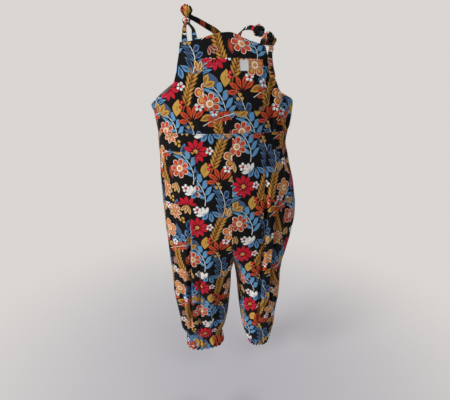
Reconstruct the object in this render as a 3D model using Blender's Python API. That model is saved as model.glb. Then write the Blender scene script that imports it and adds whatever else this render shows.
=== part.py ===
# Printed cotton dungarees, held in the hollow shape they have when worn.
# Metres, +Z up, front on -Y. The origin is on the shoulders, under the tied straps.
# "left" and "right" are as seen from the front: left is -X.

import math

import bmesh
import bpy
import numpy as np
from mathutils import Matrix, Vector

CLOTH = 0.0016            # thickness of the twill wall
SEAM = 0.0003             # gap between neighbouring pieces
WAIST_Z = -0.315          # seam between bib and trousers
CROTCH_Z = -0.832
FRONT_RISE_Z = -0.655     # where the front seam starts to curve under
BACK_RISE_Z = -0.610      # the same on the seat
HEM_Z = -1.252
UNDERARM_Z = -0.232       # lowest point of the armholes, on the side seams
BODY_ROUND = 2.3          # exponent of the body's section, 2 is an ellipse
LEG_ROUND = 2.6
STRAP_THICK = 0.0030      # four layers of cloth turned in
LABEL_SIZE = (0.027, 0.031)
LEG_COLUMNS = 18          # faces across one leg panel
GATHER_DEPTH = 0.0042     # at the elasticated hem

# body sections: height, centre x, half width, front depth, back depth
TORSO = [
    (-0.010, -0.012, 0.236, 0.114, 0.110),
    (-0.060, -0.012, 0.238, 0.124, 0.118),
    (-0.110, -0.012, 0.240, 0.137, 0.128),
    (-0.170, -0.010, 0.243, 0.150, 0.138),
    (-0.225, -0.008, 0.246, 0.153, 0.140),
    (-0.255, -0.004, 0.241, 0.152, 0.138),
    (-0.296, -0.003, 0.236, 0.149, 0.132),
    (-0.317, -0.005, 0.232, 0.147, 0.128),
    (-0.359, -0.007, 0.230, 0.147, 0.128),
    (-0.403, -0.001, 0.234, 0.150, 0.133),
    (-0.448, 0.004, 0.241, 0.154, 0.141),
    (-0.494, 0.011, 0.248, 0.157, 0.149),
    (-0.541, 0.016, 0.252, 0.158, 0.156),
    (-0.590, 0.021, 0.256, 0.158, 0.160),
    (-0.640, 0.023, 0.256, 0.156, 0.160),
    (-0.718, 0.020, 0.248, 0.150, 0.152),
    (-0.772, 0.015, 0.241, 0.142, 0.144),
    (-0.832, 0.009, 0.231, 0.132, 0.134),
]

# leg sections: height, inseam x, side x, middle y, front depth, back depth
LEG_LEFT = [
    (-0.832, 0.026, -0.222, 0.000, 0.132, 0.134),
    (-0.888, 0.022, -0.217, -0.001, 0.116, 0.116),
    (-0.936, 0.021, -0.217, -0.002, 0.104, 0.106),
    (-0.986, 0.018, -0.213, -0.003, 0.094, 0.096),
    (-1.038, 0.014, -0.206, -0.004, 0.085, 0.087),
    (-1.091, 0.008, -0.199, -0.005, 0.077, 0.078),
    (-1.145, -0.003, -0.193, -0.005, 0.070, 0.070),
    (-1.167, -0.012, -0.185, -0.005, 0.065, 0.064),
    (-1.200, -0.018, -0.167, -0.005, 0.055, 0.054),
    (-1.234, -0.008, -0.173, -0.005, 0.060, 0.056),
    (-1.252, -0.013, -0.175, -0.005, 0.058, 0.054),
]
LEG_RIGHT = [
    (-0.832, 0.026, 0.240, 0.000, 0.132, 0.134),
    (-0.888, 0.043, 0.231, -0.003, 0.124, 0.126),
    (-0.936, 0.051, 0.229, -0.006, 0.117, 0.120),
    (-0.986, 0.056, 0.225, -0.009, 0.110, 0.114),
    (-1.038, 0.060, 0.217, -0.012, 0.102, 0.107),
    (-1.091, 0.066, 0.213, -0.014, 0.094, 0.099),
    (-1.145, 0.073, 0.212, -0.016, 0.085, 0.090),
    (-1.167, 0.077, 0.209, -0.017, 0.081, 0.086),
    (-1.200, 0.084, 0.204, -0.018, 0.074, 0.077),
    (-1.234, 0.095, 0.197, -0.019, 0.064, 0.066),
    (-1.252, 0.100, 0.191, -0.020, 0.058, 0.060),
]

# centre seam of the trousers: height, x
CENTRE_SEAM = [(-0.315, 0.000), (-0.640, 0.000), (-0.720, 0.004), (-0.780, 0.014), (-0.832, 0.026)]

# columns' pocket line on the leg panels: height, distance from x = 0
POCKET_LINE = [(-0.315, 0.117), (-0.560, 0.119), (-0.700, 0.122), (-0.832, 0.120)]

# front armholes: height, left x, right x
ARMHOLE_FRONT = [
    (-0.020, -0.150, 0.096),
    (-0.055, -0.151, 0.106),
    (-0.079, -0.154, 0.112),
    (-0.101, -0.158, 0.119),
    (-0.118, -0.162, 0.126),
    (-0.135, -0.165, 0.132),
    (-0.153, -0.170, 0.139),
    (-0.168, -0.175, 0.147),
    (-0.180, -0.184, 0.153),
    (-0.191, -0.197, 0.163),
    (-0.201, -0.213, 0.187),
    (-0.211, -0.230, 0.216),
    (-0.221, -0.243, 0.230),
    (-0.232, -0.2531, 0.2375),
]

# back armholes: height, left x, right x
ARMHOLE_BACK = [
    (-0.010, -0.028, 0.092),
    (-0.045, -0.046, 0.098),
    (-0.075, -0.078, 0.110),
    (-0.105, -0.114, 0.130),
    (-0.135, -0.150, 0.156),
    (-0.162, -0.184, 0.182),
    (-0.185, -0.212, 0.204),
    (-0.205, -0.234, 0.222),
    (-0.232, -0.2531, 0.2375),
]

# neckline of the front bib: x, height
NECK_FRONT = [
    (-0.151, -0.0547), (-0.122, -0.0520), (-0.105, -0.0490), (-0.082, -0.0425), (-0.052, -0.0334),
    (-0.029, -0.0280), (-0.005, -0.0262), (0.013, -0.0300), (0.030, -0.0385), (0.055, -0.0462),
    (0.080, -0.0532), (0.107, -0.0605),
]
NECK_BACK_Z = -0.016

# soft folds: panel, x and z at the top, x and z at the bottom, half width, depth (inwards is +)
FOLDS = [
    ("bib_front", 0.163, -0.190, 0.152, -0.290, 0.012, 0.012),
    ("bib_front", -0.150, -0.170, -0.120, -0.300, 0.022, 0.004),
    ("leg_front_left", -0.152, -0.600, -0.160, -1.180, 0.020, 0.007),
    ("leg_front_left", -0.075, -0.700, -0.085, -1.200, 0.020, -0.006),
    ("leg_front_left", -0.035, -0.760, -0.045, -1.150, 0.016, 0.005),
    ("leg_front_right", 0.121, -0.470, 0.128, -1.150, 0.018, 0.007),
    ("leg_front_right", 0.168, -0.560, 0.172, -1.000, 0.016, 0.006),
    ("leg_front_right", 0.146, -0.520, 0.152, -1.180, 0.014, -0.005),
    ("leg_back_left", -0.120, -0.560, -0.110, -1.190, 0.022, 0.007),
    ("leg_back_left", -0.170, -0.640, -0.150, -1.150, 0.018, -0.005),
    ("leg_back_right", 0.118, -0.540, 0.150, -1.190, 0.022, 0.007),
    ("leg_back_right", 0.185, -0.620, 0.178, -1.100, 0.016, -0.005),
    ("bib_back", -0.100, -0.150, -0.075, -0.300, 0.022, 0.005),
    ("bib_back", 0.105, -0.150, 0.080, -0.300, 0.022, 0.005),
]

# straps and loose tails: name, width at the start and at the end, the x where it is sewn to
# a bib's top edge (or none), the knot it comes out of, and the route of its middle
# as x, y, z and the turn of the flat side in degrees, from the bib to the knot
STRAPS = [
    ("strap_front_left", 0.0165, 0.0085, (-0.1360, -1), "knot_left", [
        (-0.1355, -0.0960, -0.0350, 0), (-0.1350, -0.0840, -0.0230, 0), (-0.1345, -0.0700, -0.0110, 0),
    ]),
    ("strap_back_left", 0.0190, 0.0140, (0.0055, 1), "loop_left", [
        (0.0025, 0.1080, -0.0005, 10), (-0.0080, 0.0990, 0.0095, 26), (-0.0260, 0.0830, 0.0180, 44),
        (-0.0430, 0.0640, 0.0220, 56), (-0.0590, 0.0450, 0.0245, 64), (-0.0740, 0.0270, 0.0265, 66),
        (-0.0880, 0.0130, 0.0290, 66), (-0.1020, 0.0050, 0.0320, 66), (-0.1130, 0.0015, 0.0350, 66),
    ]),
    ("strap_back_right", 0.0190, 0.0140, (0.0640, 1), "knot_right", [
        (0.0650, 0.1065, -0.0010, 10), (0.0670, 0.0960, 0.0075, 22), (0.0700, 0.0800, 0.0145, 38),
        (0.0745, 0.0620, 0.0180, 50), (0.0800, 0.0430, 0.0180, 58), (0.0855, 0.0240, 0.0160, 62),
        (0.0905, 0.0060, 0.0120, 66),
    ]),
    ("strap_front_right", 0.0160, 0.0105, (0.0950, -1), "loop_right", [
        (0.1010, -0.1020, -0.0420, 6), (0.1060, -0.0880, -0.0365, 10),
    ]),
    ("tail_left", 0.0180, 0.0080, None, "knot_left", [
        (-0.1055, -0.1080, -0.0435, 0), (-0.1062, -0.0960, -0.0390, 4), (-0.1068, -0.0780, -0.0265, 6),
        (-0.1062, -0.0620, -0.0110, 4),
    ]),
    ("tail_right", 0.0190, 0.0130, None, "loop_right", [
        (0.1275, -0.1350, -0.1500, 4), (0.1230, -0.1345, -0.1340, 8), (0.1190, -0.1330, -0.1150, 10),
        (0.1170, -0.1300, -0.0960, 12), (0.1185, -0.1230, -0.0800, 14), (0.1250, -0.1080, -0.0700, 10),
        (0.1310, -0.0960, -0.0640, 6),
    ]),
]

# knots and loops: name, centre, radii, tilt in degrees about y
KNOTS = [
    ("knot_left", (-0.1255, -0.0330, 0.0150), (0.0125, 0.0120, 0.0100), 0),
    ("loop_left", (-0.1240, -0.0265, 0.0424), (0.0185, 0.0120, 0.0190), 0),
    ("knot_right", (0.1025, -0.0440, -0.0070), (0.0185, 0.0170, 0.0175), 20),
    ("loop_right", (0.1342, -0.0532, -0.0322), (0.0245, 0.0190, 0.0195), 35),
]

BLACK = (0.016, 0.015, 0.018, 1.0)
WHITE = (0.78, 0.77, 0.74, 1.0)


def column(table, height, index):
    """Value of one column of a table at a height."""
    heights = [-row[0] for row in table]
    return float(np.interp(-height, heights, [row[index] for row in table]))


def superellipse(offset, power):
    """Depth, from 1 in the middle to 0 at the edge."""
    return max(0.0, 1.0 - min(1.0, abs(offset)) ** power) ** (1.0 / power)


def torso_depth(x, z, face):
    """y of the body at x on the front (face -1) or back (face +1)."""
    centre = column(TORSO, z, 1)
    half = column(TORSO, z, 2)
    depth = column(TORSO, z, 3 if face < 0 else 4)
    return face * depth * superellipse((x - centre) / half, BODY_ROUND)


def fold_depth(panel, x, z):
    """How far the soft folds move the cloth inwards."""
    total = 0.0
    for name, x_top, z_top, x_low, z_low, width, depth in FOLDS:
        if name != panel or not z_low < z < z_top:
            continue
        along = (z_top - z) / (z_top - z_low)
        middle = x_top + (x_low - x_top) * along
        fade = math.sin(math.pi * min(1.0, along * 1.02)) ** 0.6
        total += depth * fade * math.exp(-((x - middle) / width) ** 2)
    return total


def smooth(value):
    value = min(1.0, max(0.0, value))
    return value * value * (3.0 - 2.0 * value)


def leg_point(side, face, step, z):
    """A point of a leg panel: side -1 left or +1 right, step 0 at the inner seam to 1 at the side seam."""
    table = LEG_LEFT if side < 0 else LEG_RIGHT
    leg_z = min(z, CROTCH_Z)
    middle_y = column(table, leg_z, 3)
    leg_depth = column(table, leg_z, 4 if face < 0 else 5)
    centre = column(TORSO, z, 1)
    if z > CROTCH_Z:
        inner = column(CENTRE_SEAM, z, 1)
        outer = centre + side * column(TORSO, z, 2)
        pocket = side * column(POCKET_LINE, z, 1)
        rise = FRONT_RISE_Z if face < 0 else BACK_RISE_Z
        fall = min(1.0, max(0.0, (rise - z) / (rise - CROTCH_Z)))
        under = 1.0 - math.sqrt(1.0 - fall * fall)
    else:
        inner = column(table, z, 1)
        outer = column(table, z, 2)
        blend = min(1.0, (CROTCH_Z - z) / 0.15)
        pocket = side * POCKET_LINE[-1][1] * (1 - blend) + 0.5 * (inner + outer) * blend
        under = 1.0
    turn = -math.cos(math.pi * step)
    x = pocket + turn * (outer - pocket if turn > 0 else pocket - inner)
    leg_middle = 0.5 * (inner + outer)
    leg_half = 0.5 * abs(outer - inner)
    leg_y = middle_y + face * leg_depth * superellipse((x - leg_middle) / leg_half, LEG_ROUND)
    if z > CROTCH_Z:
        body_y = torso_depth(x, z, face)
    else:
        body_y = middle_y + face * leg_depth * superellipse((x - centre) / (outer - centre), BODY_ROUND)
    # the inner side turns into the leg at the seam's curve, the outer side slowly down the thigh
    outwards = smooth((step - 0.04) / 0.30)
    leg_share = under * (1.0 - outwards) + smooth((-0.60 - z) / 0.45) * outwards
    y = (1.0 - leg_share) * body_y + leg_share * leg_y
    panel = "leg_" + ("front_" if face < 0 else "back_") + ("left" if side < 0 else "right")
    y -= face * fold_depth(panel, x, z) * math.sin(math.pi * step) ** 0.5
    if z < -1.16:
        gather = GATHER_DEPTH * min(1.0, (-1.16 - z) / 0.05)
        wave = math.sin(0.5 * math.pi * LEG_COLUMNS * step + 0.6) * (0.75 + 0.25 * math.sin(7.0 * step))
        x += gather * wave * (x - leg_middle) / leg_half
        y += gather * wave * (y - middle_y) / leg_depth
    return Vector((x, y, z))


def leg_heights():
    """Rows of the leg panels; those above the crotch follow the curve of the seam."""
    body = [WAIST_Z, -0.345, -0.373, -0.41, -0.45, -0.49, -0.52, -0.553, -0.60, FRONT_RISE_Z]
    drop = FRONT_RISE_Z - CROTCH_Z
    body += [FRONT_RISE_Z - drop * math.sin(math.radians(angle)) for angle in (18, 36, 54, 72, 90)]
    body += [-0.846, -0.87, -0.91, -0.96, -1.01, -1.06, -1.10, -1.14]
    return body + [-1.17, -1.195, -1.215, -1.235, HEM_Z]


def leg_grid(side, face):
    steps = [k / LEG_COLUMNS for k in range(LEG_COLUMNS + 1)]
    return [[leg_point(side, face, step, z) for step in steps] for z in leg_heights()]


SIDE_HEIGHTS = [UNDERARM_Z, -0.246, -0.262, -0.288, WAIST_Z]
ARM_HEIGHTS = [-0.100, -0.118, -0.135, -0.153, -0.168, -0.180, -0.191, -0.201, -0.211, -0.221]


def bib_edges(armhole, z):
    """Left and right x of a bib: the armholes above the underarm, the side seams below it."""
    if z > UNDERARM_Z:
        return column(armhole, z, 1), column(armhole, z, 2)
    centre, half = column(TORSO, z, 1), column(TORSO, z, 2)
    return centre - half, centre + half


def bib_front_grid():
    """Rows from the neckline to the waist. The middle columns keep to the pocket's edges."""
    rows = []
    for index, z in enumerate([None, -0.080] + ARM_HEIGHTS + SIDE_HEIGHTS):
        level = -0.056 if z is None else z
        left, right = bib_edges(ARMHOLE_FRONT, level)
        pocket_left = -0.087
        pocket_right = float(np.interp(-level, [0.056, 0.100, 0.168, 0.24], [0.070, 0.094, 0.102, 0.104]))
        xs = [pocket_left + (left - pocket_left) * math.sin(0.5 * math.pi * k / 5) for k in range(5, 0, -1)]
        xs += [pocket_left + (pocket_right - pocket_left) * k / 10 for k in range(10)]
        xs += [pocket_right + (right - pocket_right) * math.sin(0.5 * math.pi * k / 5) for k in range(6)]
        row = []
        for x in xs:
            height = z
            if z is None or index == 1:
                neck = float(np.interp(x, [p[0] for p in NECK_FRONT], [p[1] for p in NECK_FRONT]))
                height = neck if z is None else 0.45 * neck + 0.55 * ARM_HEIGHTS[0]
            y = torso_depth(x, height, -1) + fold_depth("bib_front", x, height)
            row.append(Vector((x, y, height)))
        rows.append(row)
    return rows


def bib_back_grid():
    rows = []
    for z in [NECK_BACK_Z, -0.045, -0.075] + ARM_HEIGHTS + SIDE_HEIGHTS:
        left, right = bib_edges(ARMHOLE_BACK, z)
        row = []
        for k in range(21):
            x = 0.5 * (left + right) + 0.5 * (right - left) * math.sin(math.pi * (k / 20 - 0.5))
            row.append(Vector((x, torso_depth(x, z, 1) - fold_depth("bib_back", x, z), z)))
        rows.append(row)
    return rows


def flipped(rows):
    """The same grid with its columns the other way round."""
    return [list(reversed(row)) for row in rows]


def shared_normals(grids):
    """Outward normals at all points; points on a seam get the mean of both sides."""
    sums = {}

    def key(point):
        return tuple(round(c * 20000) for c in point)

    for rows in grids.values():
        for j in range(len(rows) - 1):
            for k in range(len(rows[0]) - 1):
                a, b, c, d = rows[j][k], rows[j + 1][k], rows[j + 1][k + 1], rows[j][k + 1]
                normal = (c - a).cross(d - b)
                if normal.length > 0:
                    normal.normalize()
                for point in (a, b, c, d):
                    sums[key(point)] = sums.get(key(point), Vector()) + normal
    return {name: [[sums[key(p)].normalized() for p in row] for row in rows] for name, rows in grids.items()}


def inset(rows, gap):
    """Moves the border of a grid inwards by half of the seam's gap."""
    rows = [[p.copy() for p in row] for row in rows]
    moved = [[p.copy() for p in row] for row in rows]
    last_row, last = len(rows) - 1, len(rows[0]) - 1
    for j in range(last_row + 1):
        moved[j][0] += (rows[j][1] - rows[j][0]).normalized() * gap
        moved[j][last] += (rows[j][last - 1] - rows[j][last]).normalized() * gap
    for k in range(last + 1):
        moved[0][k] += (rows[1][k] - rows[0][k]).normalized() * gap
        moved[last_row][k] += (rows[last_row - 1][k] - rows[last_row][k]).normalized() * gap
    return moved


def cloth_wall(name, outer, inner, colour):
    """A closed wall between two grids of the same size."""
    across, down = len(outer[0]), len(outer)
    count = across * down
    points = [p for row in outer for p in row] + [p for row in inner for p in row]
    faces = []
    for j in range(down - 1):
        for k in range(across - 1):
            a = j * across + k
            quad = (a, a + across, a + across + 1, a + 1)
            faces.append(quad)
            faces.append(tuple(i + count for i in reversed(quad)))
    rim = [k for k in range(across)]
    rim += [j * across + across - 1 for j in range(1, down)]
    rim += [(down - 1) * across + k for k in range(across - 2, -1, -1)]
    rim += [j * across for j in range(down - 2, 0, -1)]
    for a, b in zip(rim, rim[1:] + rim[:1]):
        faces.append((a, b, b + count, a + count))
    mesh = bpy.data.meshes.new(name)
    mesh.from_pydata([tuple(p) for p in points], [], faces)
    return add_piece(name, mesh, colour)


def add_piece(name, mesh, colour):
    """Triangulates the mesh, turns its faces out and puts it in the garment's collection."""
    work = bmesh.new()
    work.from_mesh(mesh)
    bmesh.ops.triangulate(work, faces=work.faces[:])
    bmesh.ops.recalc_face_normals(work, faces=work.faces[:])
    work.to_mesh(mesh)
    work.free()
    mesh.shade_smooth()
    mesh.set_sharp_from_angle(angle=math.radians(50))
    piece = bpy.data.objects.new(name, mesh)
    garment.objects.link(piece)
    material = bpy.data.materials.new(name + "_cloth")
    material.use_nodes = True
    shader = material.node_tree.nodes["Principled BSDF"]
    shader.inputs["Base Color"].default_value = colour
    shader.inputs["Roughness"].default_value = 0.88
    shader.inputs["Metallic"].default_value = 0.0
    mesh.materials.append(material)
    return piece


def knot_surface(name, ray):
    """The point of a knot's surface in a direction from its centre."""
    _, centre, radii, tilt = next(row for row in KNOTS if row[0] == name)
    local = Matrix.Rotation(math.radians(-tilt), 3, "Y") @ ray.normalized()
    reach = 1.0 / math.sqrt(sum((local[k] / radii[k]) ** 2 for k in range(3)))
    x, y, z = (local[k] * reach / radii[k] for k in range(3))
    return Vector(centre) + ray.normalized() * reach * lump(x, y, z)


def lump(x, y, z):
    """Uneven swelling of a knot of radius 1."""
    return 1.0 + 0.06 * math.sin(4.0 * x + 1.0) * math.cos(3.0 * z) + 0.04 * math.sin(5.0 * y + 2.0 * z)


def sewn_start(x, face):
    """Where a strap leaves the top edge of a bib, and its direction there."""
    if face < 0:
        xs, heights = [p[0] for p in NECK_FRONT], [p[1] for p in NECK_FRONT]
        z = float(np.interp(x, xs, heights))
        slope = float(np.interp(x + 0.008, xs, heights) - np.interp(x - 0.008, xs, heights)) / 0.016
    else:
        z, slope = NECK_BACK_Z, 0.0
    up = Vector((-slope, 0.0, 1.0)).normalized()
    return Vector((x, torso_depth(x, z, face) - face * CLOTH / 2, z)) + up * SEAM, up


def sweep(name, start_width, end_width, sewn, held_by, middle, colour):
    """A flat strap along a route. Its flat side is level across x, turned by the route's angle."""
    route = [list(row) for row in middle]
    if sewn:
        start, up = sewn_start(*sewn)
        route = [[*start, 0.0], [*(start + up * 0.0095), 0.0]] + route
    centre = Vector(next(row[1] for row in KNOTS if row[0] == held_by))
    ray = Vector(route[-1][:3]) - centre
    tip = knot_surface(held_by, ray) + ray.normalized() * SEAM
    route += [[*(tip + ray.normalized() * 0.0095), route[-1][3]], [*tip, route[-1][3]]]
    route = np.array(route, float)
    spans = np.concatenate([[0], np.cumsum(np.linalg.norm(np.diff(route[:, :3], axis=0), axis=1))])
    count = max(5, int(spans[-1] / 0.008))
    where = np.linspace(0, spans[-1], count + 1)
    path = np.stack([np.interp(where, spans, route[:, k]) for k in range(4)], axis=1)
    for _ in range(2):
        path[2:-2] = 0.25 * path[1:-3] + 0.5 * path[2:-2] + 0.25 * path[3:-1]
    section = []
    for corner in range(8):
        angle = math.pi * (corner + 0.5) / 4
        across = math.copysign(abs(math.cos(angle)) ** 0.35, math.cos(angle)) / 2
        section.append((across, math.copysign(abs(math.sin(angle)) ** 0.9, math.sin(angle)) * STRAP_THICK / 2))
    points = []
    for i in range(count + 1):
        tangent = Vector(path[min(i + 1, count), :3] - path[max(i - 1, 0), :3]).normalized()
        side = Vector((1, 0, 0)) - tangent * tangent.x
        side.normalize()
        side = Matrix.Rotation(math.radians(path[i, 3]), 3, tangent) @ side
        out = side.cross(tangent)
        width = start_width + (end_width - start_width) * i / count
        points += [Vector(path[i, :3]) + side * width * a + out * b for a, b in section]
    faces = []
    for i in range(count):
        for corner in range(8):
            a, b = i * 8 + corner, i * 8 + (corner + 1) % 8
            faces.append((a, b, b + 8, a + 8))
    faces.append(tuple(range(8)))
    faces.append(tuple(count * 8 + corner for corner in reversed(range(8))))
    mesh = bpy.data.meshes.new(name)
    mesh.from_pydata([tuple(p) for p in points], [], faces)
    return add_piece(name, mesh, colour)


def knot(name, centre, radii, tilt, colour):
    """A pulled-tight knot or a puffed loop, as a lumpy rounded body."""
    work = bmesh.new()
    bmesh.ops.create_uvsphere(work, u_segments=14, v_segments=9, radius=1.0)
    turn = Matrix.Rotation(math.radians(tilt), 3, "Y")
    for vert in work.verts:
        x, y, z = vert.co
        vert.co = turn @ Vector((x * radii[0], y * radii[1], z * radii[2])) * lump(x, y, z) + Vector(centre)
    mesh = bpy.data.meshes.new(name)
    work.to_mesh(mesh)
    work.free()
    return add_piece(name, mesh, colour)


def raised(rows, normals, columns, levels, lift):
    """A part of a panel's grid, moved out along its normals."""
    return [[rows[j][k] + normals[j][k] * lift for k in columns] for j in levels]


for old in list(bpy.data.objects):
    bpy.data.objects.remove(old, do_unlink=True)
garment = bpy.data.collections.new("Dungarees")
bpy.context.scene.collection.children.link(garment)

grids = {
    "bib_front": bib_front_grid(),
    "bib_back": flipped(bib_back_grid()),
    "leg_front_left": flipped(leg_grid(-1, -1)),
    "leg_front_right": leg_grid(1, -1),
    "leg_back_left": leg_grid(-1, 1),
    "leg_back_right": flipped(leg_grid(1, 1)),
}
normals = shared_normals(grids)
for name, rows in grids.items():
    inner = [[p - n * CLOTH for p, n in zip(*pair)] for pair in zip(rows, normals[name])]
    cloth_wall(name, inset(rows, SEAM / 2), inset(inner, SEAM / 2), BLACK)

# patch pockets and the small label, made from the panels' own points
bib, bib_n = grids["bib_front"], normals["bib_front"]
pocket_rows = range(2, 14)
near, far = SEAM, SEAM + CLOTH
cloth_wall("chest_pocket", raised(bib, bib_n, range(5, 16), pocket_rows, far),
           raised(bib, bib_n, range(5, 16), pocket_rows, near), BLACK)
for name, columns in (("left", range(3, 10)), ("right", range(9, 15))):
    panel = "leg_front_" + name
    args = (grids[panel], normals[panel], columns, range(2, 8))
    cloth_wall("hip_pocket_" + name, raised(*args, far), raised(*args, near), BLACK)

across = (bib[3][12] - bib[3][11]).normalized()
down = (bib[4][11] - bib[2][11]).normalized()
corner = bib[2][11] + bib_n[3][11] * (far + SEAM) + down * 0.005 - across * 0.001
label_rows = []
for level in (0.0, 0.5, 1.0):
    label_rows.append([corner + across * LABEL_SIZE[0] * step + down * LABEL_SIZE[1] * level
                       for step in (0.0, 0.5, 1.0)])
out = down.cross(across).normalized()
if out.y > 0:
    out = -out
low = [[p + out * 0.0002 for p in row] for row in label_rows]
high = [[p + out * 0.0012 for p in row] for row in label_rows]
cloth_wall("label", high, low, WHITE)

for strap in STRAPS:
    sweep(*strap, BLACK)
for name, centre, radii, tilt in KNOTS:
    knot(name, centre, radii, tilt, BLACK)
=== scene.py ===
# Printed cotton overalls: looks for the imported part. Metres, +Z up, front on -Y.
# "left" is -X, as seen from the front.

import math

import bmesh
import bpy
import numpy as np
from mathutils import Matrix, Vector


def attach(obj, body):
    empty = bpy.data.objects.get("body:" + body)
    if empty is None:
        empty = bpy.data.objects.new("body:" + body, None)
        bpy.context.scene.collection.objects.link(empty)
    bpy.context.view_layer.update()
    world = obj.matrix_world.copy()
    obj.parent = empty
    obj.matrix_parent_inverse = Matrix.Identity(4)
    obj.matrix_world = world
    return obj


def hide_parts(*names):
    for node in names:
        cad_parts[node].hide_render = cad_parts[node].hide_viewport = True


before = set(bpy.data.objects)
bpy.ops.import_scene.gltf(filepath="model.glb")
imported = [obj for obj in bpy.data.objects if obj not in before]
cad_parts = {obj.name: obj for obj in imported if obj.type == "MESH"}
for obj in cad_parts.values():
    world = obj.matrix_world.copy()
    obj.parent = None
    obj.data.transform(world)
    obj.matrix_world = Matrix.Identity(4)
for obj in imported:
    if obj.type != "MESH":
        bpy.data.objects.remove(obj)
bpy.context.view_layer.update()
print("stage: frame loaded")

clothThickness = 0.0016
seamGap = 0.0003
waistZ = -0.315
crotchZ = -0.832
frontRiseZ = -0.655
backRiseZ = -0.610
gatherTopZ = -1.150
hemZ = -1.252
underarmZ = -0.232
seamWidth = 0.0028
torsoRoundness = 2.3
legRoundness = 2.6

# height, centre x, half width, front depth, back depth
torsoSections = [
    (-0.010, -0.012, 0.236, 0.114, 0.110),
    (-0.060, -0.012, 0.238, 0.124, 0.118),
    (-0.110, -0.012, 0.240, 0.137, 0.128),
    (-0.170, -0.010, 0.243, 0.150, 0.138),
    (-0.225, -0.008, 0.246, 0.153, 0.140),
    (-0.255, -0.004, 0.241, 0.152, 0.138),
    (-0.296, -0.003, 0.236, 0.149, 0.132),
    (-0.317, -0.005, 0.232, 0.147, 0.128),
    (-0.359, -0.007, 0.230, 0.147, 0.128),
    (-0.403, -0.001, 0.234, 0.150, 0.133),
    (-0.448, 0.004, 0.241, 0.154, 0.141),
    (-0.494, 0.011, 0.248, 0.157, 0.149),
    (-0.541, 0.016, 0.252, 0.158, 0.156),
    (-0.590, 0.021, 0.256, 0.158, 0.160),
    (-0.640, 0.023, 0.256, 0.156, 0.160),
    (-0.718, 0.020, 0.248, 0.150, 0.152),
    (-0.772, 0.015, 0.241, 0.142, 0.144),
    (-0.832, 0.009, 0.231, 0.132, 0.134),
]

# height, inseam x, side x, middle y, front depth, back depth
legSections = {
    "left": [
        (-0.832, 0.026, -0.222, 0.000, 0.132, 0.134),
        (-0.888, 0.022, -0.217, -0.001, 0.116, 0.116),
        (-0.936, 0.021, -0.217, -0.002, 0.104, 0.106),
        (-0.986, 0.018, -0.213, -0.003, 0.094, 0.096),
        (-1.038, 0.014, -0.206, -0.004, 0.085, 0.087),
        (-1.091, 0.008, -0.199, -0.005, 0.077, 0.078),
        (-1.145, -0.003, -0.193, -0.005, 0.070, 0.070),
        (-1.167, -0.012, -0.185, -0.005, 0.065, 0.064),
        (-1.200, -0.018, -0.167, -0.005, 0.055, 0.054),
        (-1.234, -0.008, -0.173, -0.005, 0.060, 0.056),
        (-1.252, -0.013, -0.175, -0.005, 0.058, 0.054),
    ],
    "right": [
        (-0.832, 0.026, 0.240, 0.000, 0.132, 0.134),
        (-0.888, 0.043, 0.231, -0.003, 0.124, 0.126),
        (-0.936, 0.051, 0.229, -0.006, 0.117, 0.120),
        (-0.986, 0.056, 0.225, -0.009, 0.110, 0.114),
        (-1.038, 0.060, 0.217, -0.012, 0.102, 0.107),
        (-1.091, 0.066, 0.213, -0.014, 0.094, 0.099),
        (-1.145, 0.073, 0.212, -0.016, 0.085, 0.090),
        (-1.167, 0.077, 0.209, -0.017, 0.081, 0.086),
        (-1.200, 0.084, 0.204, -0.018, 0.074, 0.077),
        (-1.234, 0.095, 0.197, -0.019, 0.064, 0.066),
        (-1.252, 0.100, 0.191, -0.020, 0.058, 0.060),
    ],
}
centreSeam = [(-0.315, 0.000), (-0.640, 0.000), (-0.720, 0.004), (-0.780, 0.014), (-0.832, 0.026)]
grainLine = [(-0.315, 0.117), (-0.560, 0.119), (-0.700, 0.122), (-0.832, 0.120)]

# height, left x, right x
armholeFront = [
    (-0.020, -0.150, 0.096), (-0.055, -0.151, 0.106), (-0.079, -0.154, 0.112), (-0.101, -0.158, 0.119),
    (-0.118, -0.162, 0.126), (-0.135, -0.165, 0.132), (-0.153, -0.170, 0.139), (-0.168, -0.175, 0.147),
    (-0.180, -0.184, 0.153), (-0.191, -0.197, 0.163), (-0.201, -0.213, 0.187), (-0.211, -0.230, 0.216),
    (-0.221, -0.243, 0.230), (-0.232, -0.2531, 0.2375),
]
armholeBack = [
    (-0.010, -0.028, 0.092), (-0.045, -0.046, 0.098), (-0.075, -0.078, 0.110), (-0.105, -0.114, 0.130),
    (-0.135, -0.150, 0.156), (-0.162, -0.184, 0.182), (-0.185, -0.212, 0.204), (-0.205, -0.234, 0.222),
    (-0.232, -0.2531, 0.2375),
]
necklineFront = [
    (-0.151, -0.0547), (-0.122, -0.0520), (-0.105, -0.0490), (-0.082, -0.0425), (-0.052, -0.0334),
    (-0.029, -0.0280), (-0.005, -0.0262), (0.013, -0.0300), (0.030, -0.0385), (0.055, -0.0462),
    (0.080, -0.0532), (0.107, -0.0605),
]
necklineBackZ = -0.016

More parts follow.
